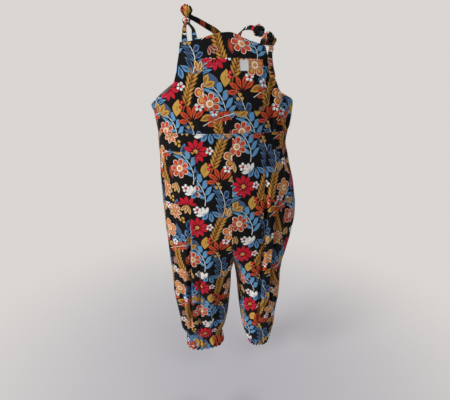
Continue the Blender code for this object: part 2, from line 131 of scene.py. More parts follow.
# by panel: x and z at the top, x and z at the bottom, half width, depth (inwards +), lean of the ridge beside it
creases = {
    "bib_front": [
        (0.184, -0.140, 0.154, -0.330, 0.0075, 0.0145, -1),
        (0.222, -0.200, 0.186, -0.345, 0.0070, 0.0100, 1),
        (0.246, -0.230, 0.196, -0.280, 0.0070, 0.0050, 1),
        (-0.150, -0.130, -0.118, -0.330, 0.011, 0.0085, 1),
        (-0.222, -0.210, -0.150, -0.330, 0.012, 0.0065, 1),
        (-0.246, -0.240, -0.176, -0.330, 0.009, 0.0045, -1),
        (0.122, -0.066, 0.134, -0.324, 0.0068, 0.0125, 1),
        (-0.124, -0.040, -0.106, -0.260, 0.009, 0.0045, -1),
        (-0.095, -0.030, -0.020, -0.110, 0.012, 0.0025, 1),
        (0.070, -0.030, 0.020, -0.105, 0.012, 0.0025, -1),
        (-0.060, -0.250, 0.060, -0.310, 0.012, 0.0030, 1),
    ],
    "leg_front_left": [
        (-0.148, -0.555, -0.158, -1.215, 0.0062, 0.0180, 1),
        (-0.112, -0.740, -0.122, -1.222, 0.0064, 0.0125, -1),
        (-0.075, -0.700, -0.085, -1.200, 0.020, -0.0070, 0),
        (-0.035, -0.760, -0.045, -1.200, 0.011, 0.0080, 1),
        (-0.188, -0.800, -0.172, -1.215, 0.008, 0.0090, 1),
        (-0.060, -1.000, -0.062, -1.225, 0.009, 0.0060, -1),
        (-0.205, -0.430, -0.195, -0.720, 0.012, 0.0045, 1),
        (-0.060, -0.345, -0.092, -0.470, 0.012, 0.0030, 1),
        (-0.022, -0.560, -0.060, -0.700, 0.012, 0.0040, 1),
    ],
    "leg_front_right": [
        (0.121, -0.380, 0.126, -1.190, 0.0062, 0.0175, 1),
        (0.166, -0.480, 0.170, -1.110, 0.0062, 0.0165, -1),
        (0.144, -0.520, 0.150, -1.180, 0.014, -0.0050, 0),
        (0.204, -0.340, 0.214, -0.760, 0.0075, 0.0095, 1),
        (0.080, -0.840, 0.096, -1.200, 0.008, 0.0090, -1),
        (0.194, -0.880, 0.186, -1.215, 0.008, 0.0065, 1),
        (0.236, -0.480, 0.222, -0.860, 0.008, 0.0055, 1),
        (0.030, -0.570, 0.082, -0.690, 0.011, 0.0042, -1),
        (0.150, -0.330, 0.178, -0.430, 0.008, 0.0050, 1),
    ],
    "leg_back_left": [
        (-0.120, -0.520, -0.110, -1.190, 0.0095, 0.0130, 1),
        (-0.170, -0.640, -0.150, -1.150, 0.018, -0.0060, 0),
        (-0.060, -0.740, -0.068, -1.200, 0.010, 0.0095, -1),
        (-0.186, -0.860, -0.170, -1.215, 0.009, 0.0065, 1),
        (-0.090, -0.400, -0.060, -0.620, 0.016, 0.0040, 1),
        (-0.024, -0.560, -0.085, -0.660, 0.012, 0.0050, 1),
    ],
    "leg_back_right": [
        (0.118, -0.500, 0.150, -1.190, 0.0095, 0.0130, -1),
        (0.185, -0.620, 0.178, -1.100, 0.016, -0.0060, 0),
        (0.085, -0.800, 0.112, -1.210, 0.010, 0.0090, 1),
        (0.200, -0.780, 0.186, -1.180, 0.009, 0.0065, -1),
        (0.100, -0.380, 0.060, -0.600, 0.016, 0.0040, -1),
        (0.026, -0.550, 0.096, -0.650, 0.012, 0.0050, -1),
    ],
    "bib_back": [
        (-0.110, -0.110, -0.075, -0.312, 0.011, 0.0085, 1),
        (0.112, -0.110, 0.080, -0.312, 0.012, 0.0080, -1),
        (0.010, -0.080, 0.020, -0.312, 0.016, 0.0050, 1),
        (-0.190, -0.210, -0.140, -0.312, 0.012, 0.0045, 1),
        (0.180, -0.200, 0.150, -0.312, 0.012, 0.0045, -1),
    ],
}

legShape = {
    "spread": 0.15,           # height below the crotch in which the panel's middle moves to the leg's
    "innerTurn": (0.04, 0.30),       # where across the panel the leg's form gives way, and over how much
    "outerTurn": (-0.60, 0.45),      # where down the side seam the leg's form sets in, and over how much
}

creaseShape = {
    "wander": 0.15,           # how far a fold strays, in half widths
    "fadeIn": 0.22,           # shares of its run over which it starts and ends
    "fadeOut": 0.25,
    "uneven": 0.15,
    "ridge": 0.35,            # height in depths
    "ridgePlace": 1.9,        # and place and width in half widths
    "ridgeWidth": 1.1,
}


def curveThrough(xs, ys, where):
    # smooth curve through a table's points that never overshoots them
    xs, ys = np.array(xs, float), np.array(ys, float)
    if xs[0] > xs[-1]:
        xs, ys = xs[::-1], ys[::-1]
    steps = np.diff(ys) / np.diff(xs)
    slopes = np.concatenate([steps[:1], np.zeros(len(xs) - 2), steps[-1:]])
    product = steps[:-1] * steps[1:]
    total = steps[:-1] + steps[1:]
    same = product > 0
    slopes[1:-1][same] = 2 * product[same] / total[same]
    where = np.clip(where, xs[0], xs[-1])
    k = np.clip(np.searchsorted(xs, where) - 1, 0, len(xs) - 2)
    gap = xs[k + 1] - xs[k]
    t = (where - xs[k]) / gap
    return ((1 + 2 * t) * (1 - t) ** 2 * ys[k] + t * (1 - t) ** 2 * gap * slopes[k]
            + t * t * (3 - 2 * t) * ys[k + 1] + t * t * (t - 1) * gap * slopes[k + 1])


def tableValue(table, z, column):
    return curveThrough([row[0] for row in table], [row[column] for row in table], z)


def softStep(value):
    value = np.clip(value, 0.0, 1.0)
    return value * value * (3 - 2 * value)


def roundOff(offset, power):
    return np.maximum(0.0, 1 - np.minimum(1.0, np.abs(offset)) ** power) ** (1 / power)


def clothNoise(x, y, seed):
    # smooth uneven waves between -1 and 1, the same on each run
    lattice = np.random.RandomState(seed).uniform(-1, 1, (64, 64))
    xi, yi = np.floor(x).astype(int), np.floor(y).astype(int)
    fx, fy = softStep(x - xi), softStep(y - yi)
    a, b = lattice[xi % 64, yi % 64], lattice[(xi + 1) % 64, yi % 64]
    c, d = lattice[xi % 64, (yi + 1) % 64], lattice[(xi + 1) % 64, (yi + 1) % 64]
    return (a * (1 - fx) + b * fx) * (1 - fy) + (c * (1 - fx) + d * fx) * fy


def torsoSpan(z):
    return tableValue(torsoSections, z, 1), tableValue(torsoSections, z, 2)


def torsoDepth(x, z, face):
    centre, half = torsoSpan(z)
    depth = tableValue(torsoSections, z, 3 if face < 0 else 4)
    return face * depth * roundOff((x - centre) / half, torsoRoundness)


def creaseDepth(panel, x, z):
    # soft troughs with a lower ridge beside them, inwards +
    values = creaseShape
    total = np.zeros_like(x)
    for xTop, zTop, xLow, zLow, width, depth, lean in creases[panel]:
        run = (zTop - z) / (zTop - zLow)
        inside = (run > 0) & (run < 1)
        run = np.clip(run, 0, 1)
        bend = values["wander"] * width * np.sin(9 * run + 40 * xTop)
        offset = (x - xTop - (xLow - xTop) * run - bend) / width
        fade = softStep(run / values["fadeIn"]) * softStep((1 - run) / values["fadeOut"])
        fade = fade * (1 - values["uneven"] * (1 - np.sin(14 * run + 90 * zTop)))
        ridge = np.exp(-((offset - values["ridgePlace"] * lean) / values["ridgeWidth"]) ** 2)
        shape = np.exp(-offset ** 2) - values["ridge"] * abs(lean) * ridge
        total += np.where(inside, depth * fade * shape, 0.0)
    return total


def legSurface(side, face, step, z):
    # the smooth panel: step 0 at the inner seam to 1 at the side seam
    table = legSections["left" if side < 0 else "right"]
    legZ = np.minimum(z, crotchZ)
    above = z > crotchZ
    middleY = tableValue(table, legZ, 3)
    legDepth = tableValue(table, legZ, 4 if face < 0 else 5)
    centre, half = torsoSpan(z)
    rise = frontRiseZ if face < 0 else backRiseZ
    fall = np.clip((rise - z) / (rise - crotchZ), 0, 1)
    under = np.where(above, 1 - np.sqrt(1 - fall ** 2), 1.0)
    inner = np.where(above, tableValue(centreSeam, z, 1), tableValue(table, legZ, 1))
    outer = np.where(above, centre + side * half, tableValue(table, legZ, 2))
    blend = np.clip((crotchZ - z) / legShape["spread"], 0, 1)
    middle = np.where(above, side * tableValue(grainLine, z, 1),
                      side * grainLine[-1][1] * (1 - blend) + 0.5 * (inner + outer) * blend)
    turn = -np.cos(np.pi * step)
    x = middle + turn * np.where(turn > 0, outer - middle, middle - inner)
    legHalf = 0.5 * np.abs(outer - inner)
    legY = middleY + face * legDepth * roundOff((x - 0.5 * (inner + outer)) / legHalf, legRoundness)
    bodyY = np.where(above, torsoDepth(x, z, face),
                     middleY + face * legDepth * roundOff((x - centre) / (outer - centre), torsoRoundness))
    (start, width), (top, height) = legShape["innerTurn"], legShape["outerTurn"]
    outwards = softStep((step - start) / width)
    share = under * (1 - outwards) + softStep((top - z) / height) * outwards
    return np.stack([x, (1 - share) * bodyY + share * legY, z], axis=-1)


def gridNormals(points):
    down = np.gradient(points, axis=0)
    across = np.gradient(points, axis=1)
    normal = np.cross(down, across)
    return normal / np.maximum(np.linalg.norm(normal, axis=-1, keepdims=True), 1e-9)


print("stage: surfaces defined")

# the camera stands as it did for the photo, turned about the garment and looking down on it
viewSettings = {
    "turn": 9.0,
    "pitch": 19.0,
    "distance": 1.09,
    "height": -0.21,
    "focalPixels": 295.0,     # focal length in pixels of a picture of this width
    "widthPixels": 450,
    "sensor": 36.0,
}


def addObject(name, data, place=(0, 0, 0)):
    thing = bpy.data.objects.new(name, data)
    thing.location = place
    bpy.context.scene.collection.objects.link(thing)
    return thing


def meshFrom(bm, name):
    mesh = bpy.data.meshes.new(name)
    bm.to_mesh(mesh)
    bm.free()
    return mesh


def makeCamera():
    turn, pitch = math.radians(viewSettings["turn"]), math.radians(viewSettings["pitch"])
    data = bpy.data.cameras.new("photoCamera")
    data.sensor_width = viewSettings["sensor"]
    data.lens = viewSettings["sensor"] * viewSettings["focalPixels"] / viewSettings["widthPixels"]
    reach = viewSettings["distance"]
    camera = addObject("photoCamera", data, (-reach * math.sin(turn), -reach * math.cos(turn), viewSettings["height"]))
    look = Vector((math.sin(turn) * math.cos(pitch), math.cos(turn) * math.cos(pitch), -math.sin(pitch)))
    camera.rotation_euler = look.to_track_quat("-Z", "Y").to_euler()
    bpy.context.scene.camera = camera


makeCamera()
bpy.context.scene.view_settings.view_transform = "Standard"

# everything that a user would change about the floor and the light
studioSettings = {
    "floorZ": -1.440,
    "floorReach": 6.0,
    "floor": (0.50, 0.49, 0.52),
    "background": (0.700, 0.672, 0.650),
    "fade": (0.10, 1.70),     # how far from the garment the floor starts and ends its change into the background
    "sky": (0.96, 0.97, 1.0, 0.27),
    # name, place, aim, size, watts, colour
    "lamps": [
        ("windowLeft", (-4.3, -1.9, 0.9), (0.0, 0.0, -0.7), 1.3, 176.0, (1.0, 0.99, 0.97)),
        ("ceiling", (0.9, -2.6, 2.9), (0.0, 0.0, -0.7), 2.2, 26.0, (1.0, 1.0, 1.0)),
        ("fillRight", (2.4, -1.6, 0.3), (0.0, 0.0, -0.7), 1.8, 5.0, (0.95, 0.97, 1.0)),
        ("behind", (1.6, 3.4, 1.6), (0.0, 0.0, -0.6), 2.0, 110.0, (1.0, 1.0, 1.0)),
    ],
}


def makeFloor():
    # a plain pale floor that turns into the background's colour away from the garment, and is no lamp there
    values = studioSettings
    paper = bpy.data.materials.new("floorPaper")
    paper.use_nodes = True
    tree = paper.node_tree
    shader = tree.nodes["Principled BSDF"]
    shader.inputs["Base Color"].default_value = (*values["floor"], 1.0)
    shader.inputs["Roughness"].default_value = 0.9
    place, away = tree.nodes.new("ShaderNodeTexCoord"), tree.nodes.new("ShaderNodeVectorMath")
    fade, glow, both = (tree.nodes.new("ShaderNode" + kind) for kind in ("MapRange", "Emission", "MixShader"))
    away.operation = "LENGTH"
    fade.interpolation_type = "SMOOTHSTEP"
    fade.inputs["From Min"].default_value, fade.inputs["From Max"].default_value = values["fade"]
    glow.inputs["Color"].default_value = (*values["background"], 1.0)
    path, strength = tree.nodes.new("ShaderNodeLightPath"), tree.nodes.new("ShaderNodeMapRange")
    strength.inputs["To Min"].default_value = values["sky"][3]
    for source, target in (
        (path.outputs["Is Camera Ray"], strength.inputs["Value"]),
        (strength.outputs["Result"], glow.inputs["Strength"]),
        (place.outputs["Object"], away.inputs[0]),
        (away.outputs["Value"], fade.inputs["Value"]),
        (fade.outputs["Result"], both.inputs[0]),
        (shader.outputs[0], both.inputs[1]),
        (glow.outputs[0], both.inputs[2]),
        (both.outputs[0], tree.nodes["Material Output"].inputs["Surface"]),
    ):
        tree.links.new(source, target)
    bm = bmesh.new()
    bmesh.ops.create_circle(bm, cap_ends=True, segments=64, radius=values["floorReach"])
    mesh = meshFrom(bm, "floor")
    mesh.materials.append(paper)
    addObject("floor", mesh, (0, 0, values["floorZ"]))


def makeLight():
    values = studioSettings
    world = bpy.data.worlds.new("studio")
    world.use_nodes = True
    tree = world.node_tree
    sky = tree.nodes["Background"]
    sky.inputs["Color"].default_value = (*values["sky"][:3], 1.0)
    sky.inputs["Strength"].default_value = values["sky"][3]
    # the background is seen in its own colour and lights the garment with the sky's
    seen, path, both = (tree.nodes.new("ShaderNode" + kind) for kind in ("Background", "LightPath", "MixShader"))
    seen.inputs["Color"].default_value = (*values["background"], 1.0)
    tree.links.new(path.outputs["Is Camera Ray"], both.inputs[0])
    tree.links.new(sky.outputs[0], both.inputs[1])
    tree.links.new(seen.outputs[0], both.inputs[2])
    tree.links.new(both.outputs[0], tree.nodes["World Output"].inputs["Surface"])
    bpy.context.scene.world = world
    for name, place, aim, size, watts, colour in values["lamps"]:
        data = bpy.data.lights.new(name, "AREA")
        data.shape, data.size, data.energy, data.color = "DISK", size, watts, colour
        lamp = addObject(name, data, place)
        lamp.rotation_euler = (Vector(aim) - Vector(place)).to_track_quat("-Z", "Y").to_euler()


makeFloor()
makeLight()
print("stage: camera, floor and light made")


# finishes
def newMaterial(name):
    material = bpy.data.materials.new(name)
    material.use_nodes = True
    return material, material.node_tree, material.node_tree.nodes["Principled BSDF"]


def mathNode(tree, operation, first, second=None, third=None, clamp=False):
    node = tree.nodes.new("ShaderNodeMath")
    node.operation, node.use_clamp = operation, clamp
    for socket, value in zip(node.inputs, (first, second, third)):
        if isinstance(value, (int, float)):
            socket.default_value = value
        elif value is not None:
            tree.links.new(value, socket)
    return node.outputs[0]


# the print: an all-over flower, leaf and wheat design in screen-print colours on black
printTile = (0.256, 0.264)
printWander = {"scale": 110.0, "reach": 0.0016}
inks = {
    "black": (15, 13, 14), "mustard": (214, 166, 78), "ochre": (170, 114, 48), "sky": (102, 158, 204),
    "slate": (76, 96, 130), "crimson": (206, 30, 50), "rust": (212, 80, 42), "brick": (140, 58, 46),
    "cream": (246, 224, 192), "white": (246, 244, 240), "coral": (230, 124, 90), "navy": (46, 58, 92),
}


def withOutline(end, *bands):
    return [*bands, (0.80, "black"), (end, None)]


# what each motif is filled with, from its middle outwards: position, ink or none
fills = {
    "skyLeaf": withOutline(0.86, (0, "slate"), (0.34, "sky")),
    "plainSky": withOutline(0.87, (0, "sky")),
    "plainSlate": withOutline(0.87, (0, "slate")),
    "edgedSlate": withOutline(0.86, (0, "navy"), (0.40, "slate"), (0.66, "sky")),
    "rustLeaf": withOutline(0.86, (0, "brick"), (0.25, "rust")),
    "brickLeaf": withOutline(0.86, (0, "rust"), (0.30, "brick")),
    "wheat": withOutline(0.84, (0, "mustard"), (0.34, "ochre")),
    "ochreLeaf": withOutline(0.86, (0, "ochre"), (0.42, "mustard")),
    "mustardLeaf": withOutline(0.86, (0, "ochre"), (0.09, "mustard")),
    "daisy": withOutline(0.85, (0, "crimson")),
    "outlined": withOutline(0.88, (0, "rust"), (0.22, "crimson"), (0.52, "cream")),
    "outlinedRust": withOutline(0.88, (0, "mustard"), (0.18, "rust"), (0.55, "cream")),
    "bellOchre": withOutline(0.88, (0, "ochre"), (0.48, "cream"), (0.60, "mustard")),
    "bellBrick": withOutline(0.88, (0, "brick"), (0.50, "cream"), (0.62, "brick")),
    "whitePetal": withOutline(0.88, (0, "white")),
    "berry": withOutline(0.92, (0, "coral"), (0.10, "crimson")),
    "dot": [(0, "mustard"), (0.80, None)],
    "line": [(0, "white"), (0.80, None)],
    "lineOchre": [(0, "ochre"), (0.80, None)],
    "discMustard": [(0, "mustard"), (0.8, "crimson"), (0.98, None)],
    "discCream": [(0, "mustard"), (0.35, "rust"), (0.5, "cream"), (0.98, None)],
    "discCrimson": [(0, "crimson"), (0.98, None)],
}

# the numbers that each kind of motif takes
motifNumbers = {
    "leaf": (),
    "fan": ("Step", "Limit", "Offset", "Inner", "Narrow"),
    "rosette": ("Count", "Middle", "Height", "Width"),
    "sprig": ("Slant", "Count", "Narrow", "Bend", "Thick"),
}
blossom = (5, 0.60, 0.42, 0.40)
bell = (0.46, 1, 0.0, 0.0, 1.75)
dots = (3, 0.62, 0.40, 0.34)

# kind, foot or middle in hundredths of the tile, turn clockwise (degrees), half width or reach and length (mm),
# its own numbers, fill, and what lies on it: a stem, or a disc with its radius as a share
motifs = [
    ("leaf", 24, 44, -34, 12, 62, (), "plainSlate", None),
    ("leaf", 83, 82, 166, 12, 62, (), "plainSlate", None),
    ("leaf", 101, 14, -12, 9, 50, (), "brickLeaf", None),
    ("leaf", 60, 42, 66, 10, 46, (), "ochreLeaf", None),
    ("leaf", 2, 70, 12, 10, 52, (), "edgedSlate", None),
    ("leaf", 30, 46, 8, 15, 56, (), "mustardLeaf", None),
    ("sprig", 31, 20, -6, 36, 92, (1.25, 3, 2.45, -0.16, 0.034), "plainSky", "line"),
    ("sprig", 92, 48, 12, 33, 86, (1.25, 3, 2.45, 0.18, 0.036), "skyLeaf", "line"),
    ("sprig", 55, -2, 20, 34, 92, (1.15, 3, 2.45, -0.20, 0.036), "edgedSlate", "line"),
    ("sprig", 72, 40, 62, 19, 74, (0.9, 4, 2.1, 0.04, 0.06), "rustLeaf", "line"),
    ("sprig", 42, 61, 20, 19, 100, (1.5, 6, 2.05, 0.0, 0.07), "wheat", "lineOchre"),
    ("sprig", 90, 8, -22, 18, 94, (1.5, 6, 2.05, 0.03, 0.07), "wheat", "lineOchre"),
    ("fan", 51, 42, -22, 50, 50, (0.62, 2, 0.0, 0.08, 2.5), "rustLeaf", None),
    ("fan", 3, 46, 30, 46, 46, (0.66, 1, 0.0, 0.05, 2.0), "ochreLeaf", None),
    ("fan", 37, 4, 192, 46, 46, (0.80, 1, 0.5, 0.05, 2.5), "skyLeaf", None),
    ("fan", 70, 58, 96, 40, 40, (0.60, 1, 0.5, 0.05, 2.3), "skyLeaf", None),
    ("fan", 8, 12, 200, 42, 42, bell, "bellOchre", None),
    ("fan", 73, 27, 150, 38, 38, bell, "bellBrick", None),
    ("fan", 60, 93, 16, 42, 42, bell, "bellOchre", None),
    ("fan", 31, 97, -38, 34, 34, (0.62, 1, 0.5, 0.0, 2.0), "whitePetal", None),
    ("rosette", 20, 4, 0, 14, 14, blossom, "whitePetal", (0.34, "discCrimson")),
    ("rosette", 37, 80, 20, 13, 13, blossom, "whitePetal", (0.34, "discCrimson")),
    ("rosette", 60, 58, 10, 14, 14, blossom, "whitePetal", (0.34, "discCrimson")),
    ("rosette", 73, 6, 30, 14, 14, blossom, "whitePetal", (0.34, "discCrimson")),
    ("rosette", 78, 52, 0, 13, 13, blossom, "whitePetal", (0.34, "discCrimson")),
    ("rosette", 48, 36, 0, 12, 12, dots, "dot", None),
    ("rosette", 97, 88, 30, 12, 12, dots, "dot", None),
    ("rosette", 12, 29, 12, 32, 32, (7, 0.62, 0.40, 0.44), "outlined", (0.36, "discCream")),
    ("rosette", 68, 71, 0, 33, 33, (5, 0.60, 0.44, 0.46), "outlinedRust", (0.34, "discCream")),
    ("fan", 20, 79, 0, 41, 41, (0.6283, 9, 0.0, 0.12, 2.2), "daisy", (0.20, "discMustard")),
    ("fan", 86, 99, 10, 32, 32, (0.7854, 9, 0.0, 0.12, 2.0), "outlinedRust", (0.24, "discMustard")),
    ("rosette", 37, 60, 0, 12, 12, (2, 0.55, 0.45, 0.36), "berry", None),
]


def inkColour(name):
    # sRGB 0 to 255 to linear
    if name is None:
        return (0.0, 0.0, 0.0, 0.0)
    values = [value / 255 for value in inks[name]]
    return (*[v / 12.92 if v <= 0.04045 else ((v + 0.055) / 1.055) ** 2.4 for v in values], 1.0)


def vectorNode(tree, operation, *values):
    node = tree.nodes.new("ShaderNodeVectorMath")
    node.operation = operation
    for socket, value in zip(node.inputs, values):
        if isinstance(value, tuple):
            socket.default_value = value
        else:
            tree.links.new(value, socket)
    return node.outputs["Value" if operation == "LENGTH" else "Vector"]


def splitNode(tree, vector):
    node = tree.nodes.new("ShaderNodeSeparateXYZ")
    tree.links.new(vector, node.inputs[0])
    return node.outputs


def rangeNode(tree, value, low, high, toHigh):
    # 0 at low to toHigh at high, held at both ends
    node = tree.nodes.new("ShaderNodeMapRange")
    node.inputs["To Max"].default_value = toHigh
    tree.links.new(value, node.inputs["Value"])
    for name, limit in (("From Min", low), ("From Max", high)):
        if isinstance(limit, (int, float)):
            node.inputs[name].default_value = limit
        else:
            tree.links.new(limit, node.inputs[name])
    return node.outputs["Result"]


def bulge(tree, value, low, high):
    # 1 halfway from low to high, 0 near both, and below 0 outside, where nothing is to be inked
    sine = mathNode(tree, "SINE", rangeNode(tree, value, low, high, math.pi))
    return mathNode(tree, "MULTIPLY_ADD", sine, 1.16, -0.16)


def fieldGroup(name, numbers, build):
    # a group that turns a place into fields: 0 in the middle of a shape, 0.8 at its edge
    group = bpy.data.node_groups.new(name, "ShaderNodeTree")
    group.interface.new_socket("Place", in_out="INPUT", socket_type="NodeSocketVector")
    for number in numbers:
        group.interface.new_socket(number, in_out="INPUT", socket_type="NodeSocketFloat")
    fields = build(group, group.nodes.new("NodeGroupInput").outputs)
    for field in fields:
        group.interface.new_socket(field, in_out="OUTPUT", socket_type="NodeSocketFloat")
    given = group.nodes.new("NodeGroupOutput")
    for field, socket in fields.items():
        group.links.new(socket, given.inputs[field])
    return group


def leafField(tree, taken):
    x, y = splitNode(tree, taken["Place"])[:2]
    side = mathNode(tree, "SUBTRACT", mathNode(tree, "ABSOLUTE", x), bulge(tree, y, 0.0, 1.0))
    return {"Shape": mathNode(tree, "MULTIPLY_ADD", side, 0.8, 0.8)}


def petalTurn(tree, taken):
    x, y = splitNode(tree, taken["Place"])[:2]
    return mathNode(tree, "ARCTAN2", x, y), vectorNode(tree, "LENGTH", taken["Place"])


def fanField(tree, taken):
    # pointed leaves or petals that spread from one foot
    turn, radius = petalTurn(tree, taken)
    steps = mathNode(tree, "ABSOLUTE", mathNode(tree, "DIVIDE", turn, taken["Step"]))
    side = mathNode(tree, "SUBTRACT", steps, taken["Offset"])
    nearest = mathNode(tree, "MINIMUM", mathNode(tree, "ROUND", side), taken["Limit"])
    off = mathNode(tree, "ABSOLUTE", mathNode(tree, "SUBTRACT", side, nearest))
    petal = bulge(tree, radius, taken["Inner"], 1.0)
    edge = mathNode(tree, "MULTIPLY_ADD", off, taken["Narrow"], mathNode(tree, "SUBTRACT", 1.0, petal))
    return {"Shape": mathNode(tree, "MULTIPLY", edge, 0.8)}


def rosetteField(tree, taken):
    # round petals in a ring
    turn, radius = petalTurn(tree, taken)
    share = mathNode(tree, "DIVIDE", taken["Count"], 2 * math.pi)
    part = mathNode(tree, "PINGPONG", mathNode(tree, "MULTIPLY", turn, share), 0.5)
    along = mathNode(tree, "DIVIDE", mathNode(tree, "SUBTRACT", radius, taken["Middle"]), taken["Height"])
    across = mathNode(tree, "DIVIDE", part, taken["Width"])
    total = mathNode(tree, "MULTIPLY_ADD", across, across, mathNode(tree, "MULTIPLY", along, along))
    return {"Shape": mathNode(tree, "MULTIPLY", total, 0.8)}


def sprigField(tree, taken):
    # a bent stem with leaves on both sides by turns, their roots a step apart
    x, y = splitNode(tree, taken["Place"])[:2]
    steps = mathNode(tree, "MULTIPLY", y, mathNode(tree, "ADD", taken["Count"], 1.0))
    curve = mathNode(tree, "MULTIPLY", mathNode(tree, "MULTIPLY", steps, steps), -0.5)
    bent = mathNode(tree, "MULTIPLY_ADD", curve, taken["Bend"], x)
    out = mathNode(tree, "ABSOLUTE", bent)
    level = mathNode(tree, "SUBTRACT", steps, mathNode(tree, "MULTIPLY", out, taken["Slant"]))
    level = mathNode(tree, "MULTIPLY_ADD", mathNode(tree, "GREATER_THAN", bent, 0.0), 0.5, level)
    nearest = mathNode(tree, "MINIMUM", mathNode(tree, "MAXIMUM", mathNode(tree, "ROUND", level), 0.0), taken["Count"])
    off = mathNode(tree, "ABSOLUTE", mathNode(tree, "SUBTRACT", level, nearest))
    leaf = bulge(tree, out, -0.06, 1.0)
    edge = mathNode(tree, "MULTIPLY_ADD", off, taken["Narrow"], mathNode(tree, "SUBTRACT", 1.0, leaf))
    ends = mathNode(tree, "MULTIPLY", mathNode(tree, "ABSOLUTE", mathNode(tree, "SUBTRACT", y, 0.42)), 1.4)
    stem = mathNode(tree, "MAXIMUM", mathNode(tree, "DIVIDE", out, taken["Thick"]), ends)
    return {"Shape": mathNode(tree, "MULTIPLY", edge, 0.8), "Stem": mathNode(tree, "MULTIPLY", stem, 0.8)}


def fillNode(tree, field, bands):
    node = tree.nodes.new("ShaderNodeValToRGB")
    tree.links.new(field, node.inputs[0])
    ramp = node.color_ramp
    ramp.interpolation = "CONSTANT"
    while len(ramp.elements) < len(bands):
        ramp.elements.new(1.0)
    for element, (position, ink) in zip(ramp.elements, bands):
        element.position = position
        element.color = inkColour(ink)
    return node


def overlay(tree, below, fill):
    node = tree.nodes.new("ShaderNodeMix")
    node.data_type = "RGBA"
    tree.links.new(fill.outputs["Alpha"], node.inputs["Factor"])
    if isinstance(below, tuple):
        node.inputs[6].default_value = below
    else:
        tree.links.new(below, node.inputs[6])
    tree.links.new(fill.outputs["Color"], node.inputs[7])
    return node.outputs[2]


def makePrint():
    builders = {"leaf": leafField, "fan": fanField, "rosette": rosetteField, "sprig": sprigField}
    groups = {kind: fieldGroup(kind + "Shape", motifNumbers[kind], build) for kind, build in builders.items()}
    tree = bpy.data.node_groups.new("meadowPrint", "ShaderNodeTree")
    tree.interface.new_socket("Cut", in_out="INPUT", socket_type="NodeSocketVector")
    tree.interface.new_socket("Ink", in_out="OUTPUT", socket_type="NodeSocketColor")
    taken, given = tree.nodes.new("NodeGroupInput"), tree.nodes.new("NodeGroupOutput")
    # edges look cut by hand: the place wanders by about half a millimetre
    wander = tree.nodes.new("ShaderNodeTexNoise")
    wander.inputs["Scale"].default_value = printWander["scale"]
    wander.inputs["Detail"].default_value = 0.0
    tree.links.new(taken.outputs["Cut"], wander.inputs["Vector"])
    nudge = vectorNode(tree, "SUBTRACT", wander.outputs["Color"], (0.5, 0.5, 0.5))
    nudge = vectorNode(tree, "MULTIPLY", nudge, (printWander["reach"], printWander["reach"], 0.0))
    place = vectorNode(tree, "ADD", taken.outputs["Cut"], nudge)
    colour = inkColour("black")
    for kind, footX, footY, turn, width, length, numbers, fill, extra in motifs:
        x, y, angle = footX / 100 * printTile[0], footY / 100 * printTile[1], math.radians(turn)
        # the repeat is centred on the middle of the motif
        fromFoot = kind in ("leaf", "sprig") or (kind == "fan" and numbers[1] < 3)
        reach = 0.5 * length / 1000 if fromFoot else 0.0
        middle = (x + math.sin(angle) * reach, y + math.cos(angle) * reach)
        repeat = vectorNode(
            tree, "WRAP", place,
            (middle[0] + printTile[0] / 2, middle[1] + printTile[1] / 2, 1.0),
            (middle[0] - printTile[0] / 2, middle[1] - printTile[1] / 2, -1.0),
        )
        mapping = tree.nodes.new("ShaderNodeMapping")
        mapping.vector_type = "TEXTURE"
        mapping.inputs["Location"].default_value = (x, y, 0.0)
        mapping.inputs["Rotation"].default_value = (0.0, 0.0, -angle)
        mapping.inputs["Scale"].default_value = (width / 1000, length / 1000, 1.0)
        tree.links.new(repeat, mapping.inputs["Vector"])
        shape = tree.nodes.new("ShaderNodeGroup")
        shape.node_tree = groups[kind]
        tree.links.new(mapping.outputs["Vector"], shape.inputs["Place"])
        for number, value in zip(motifNumbers[kind], numbers):
            shape.inputs[number].default_value = value
        if kind == "sprig":
            colour = overlay(tree, colour, fillNode(tree, shape.outputs["Stem"], fills[extra]))
        colour = overlay(tree, colour, fillNode(tree, shape.outputs["Shape"], fills[fill]))
        if kind != "sprig" and extra:
            radius = mathNode(tree, "DIVIDE", vectorNode(tree, "LENGTH", mapping.outputs["Vector"]), extra[0])
            colour = overlay(tree, colour, fillNode(tree, radius, fills[extra[1]]))
    tree.links.new(colour, given.inputs["Ink"])
    return tree


meadowPrint = makePrint()
print("stage: print made")

clothLook = {
    "weavePitch": 0.0014,
    # weaveShade: how much painted shade darkens the grooves between the twill's ribs
    "weaveShade": 0.05,
    "weaveBump": 0.35,
    "fade": 0.012,
    "roughness": 0.88,
    "sheen": 0.035,
    "sheenRoughness": 0.5,
    "specular": 0.12,
    "bumpDepth": 0.0003,
    "stitchWidth": 0.0009,
    "stitchPitch": 0.0036,
    "stitchShare": 0.72,      # how much of the pitch is thread
    "thread": (0.022, 0.022, 0.026),
}


def attributeNode(tree, name):
    node = tree.nodes.new("ShaderNodeAttribute")
    node.attribute_name = name
    return node.outputs["Vector"]


def twillRibs(tree, cut):
    # fine diagonal ribs, 0 to 1
    pitch = clothLook["weavePitch"]
    node = tree.nodes.new("ShaderNodeVectorMath")
    node.operation = "DOT_PRODUCT"
    node.inputs[1].default_value = (6.2832 / pitch, 4.2 / pitch, 0.0)
    tree.links.new(cut, node.inputs[0])
    return mathNode(tree, "MULTIPLY_ADD", mathNode(tree, "SINE", node.outputs["Value"]), 0.5, 0.5)


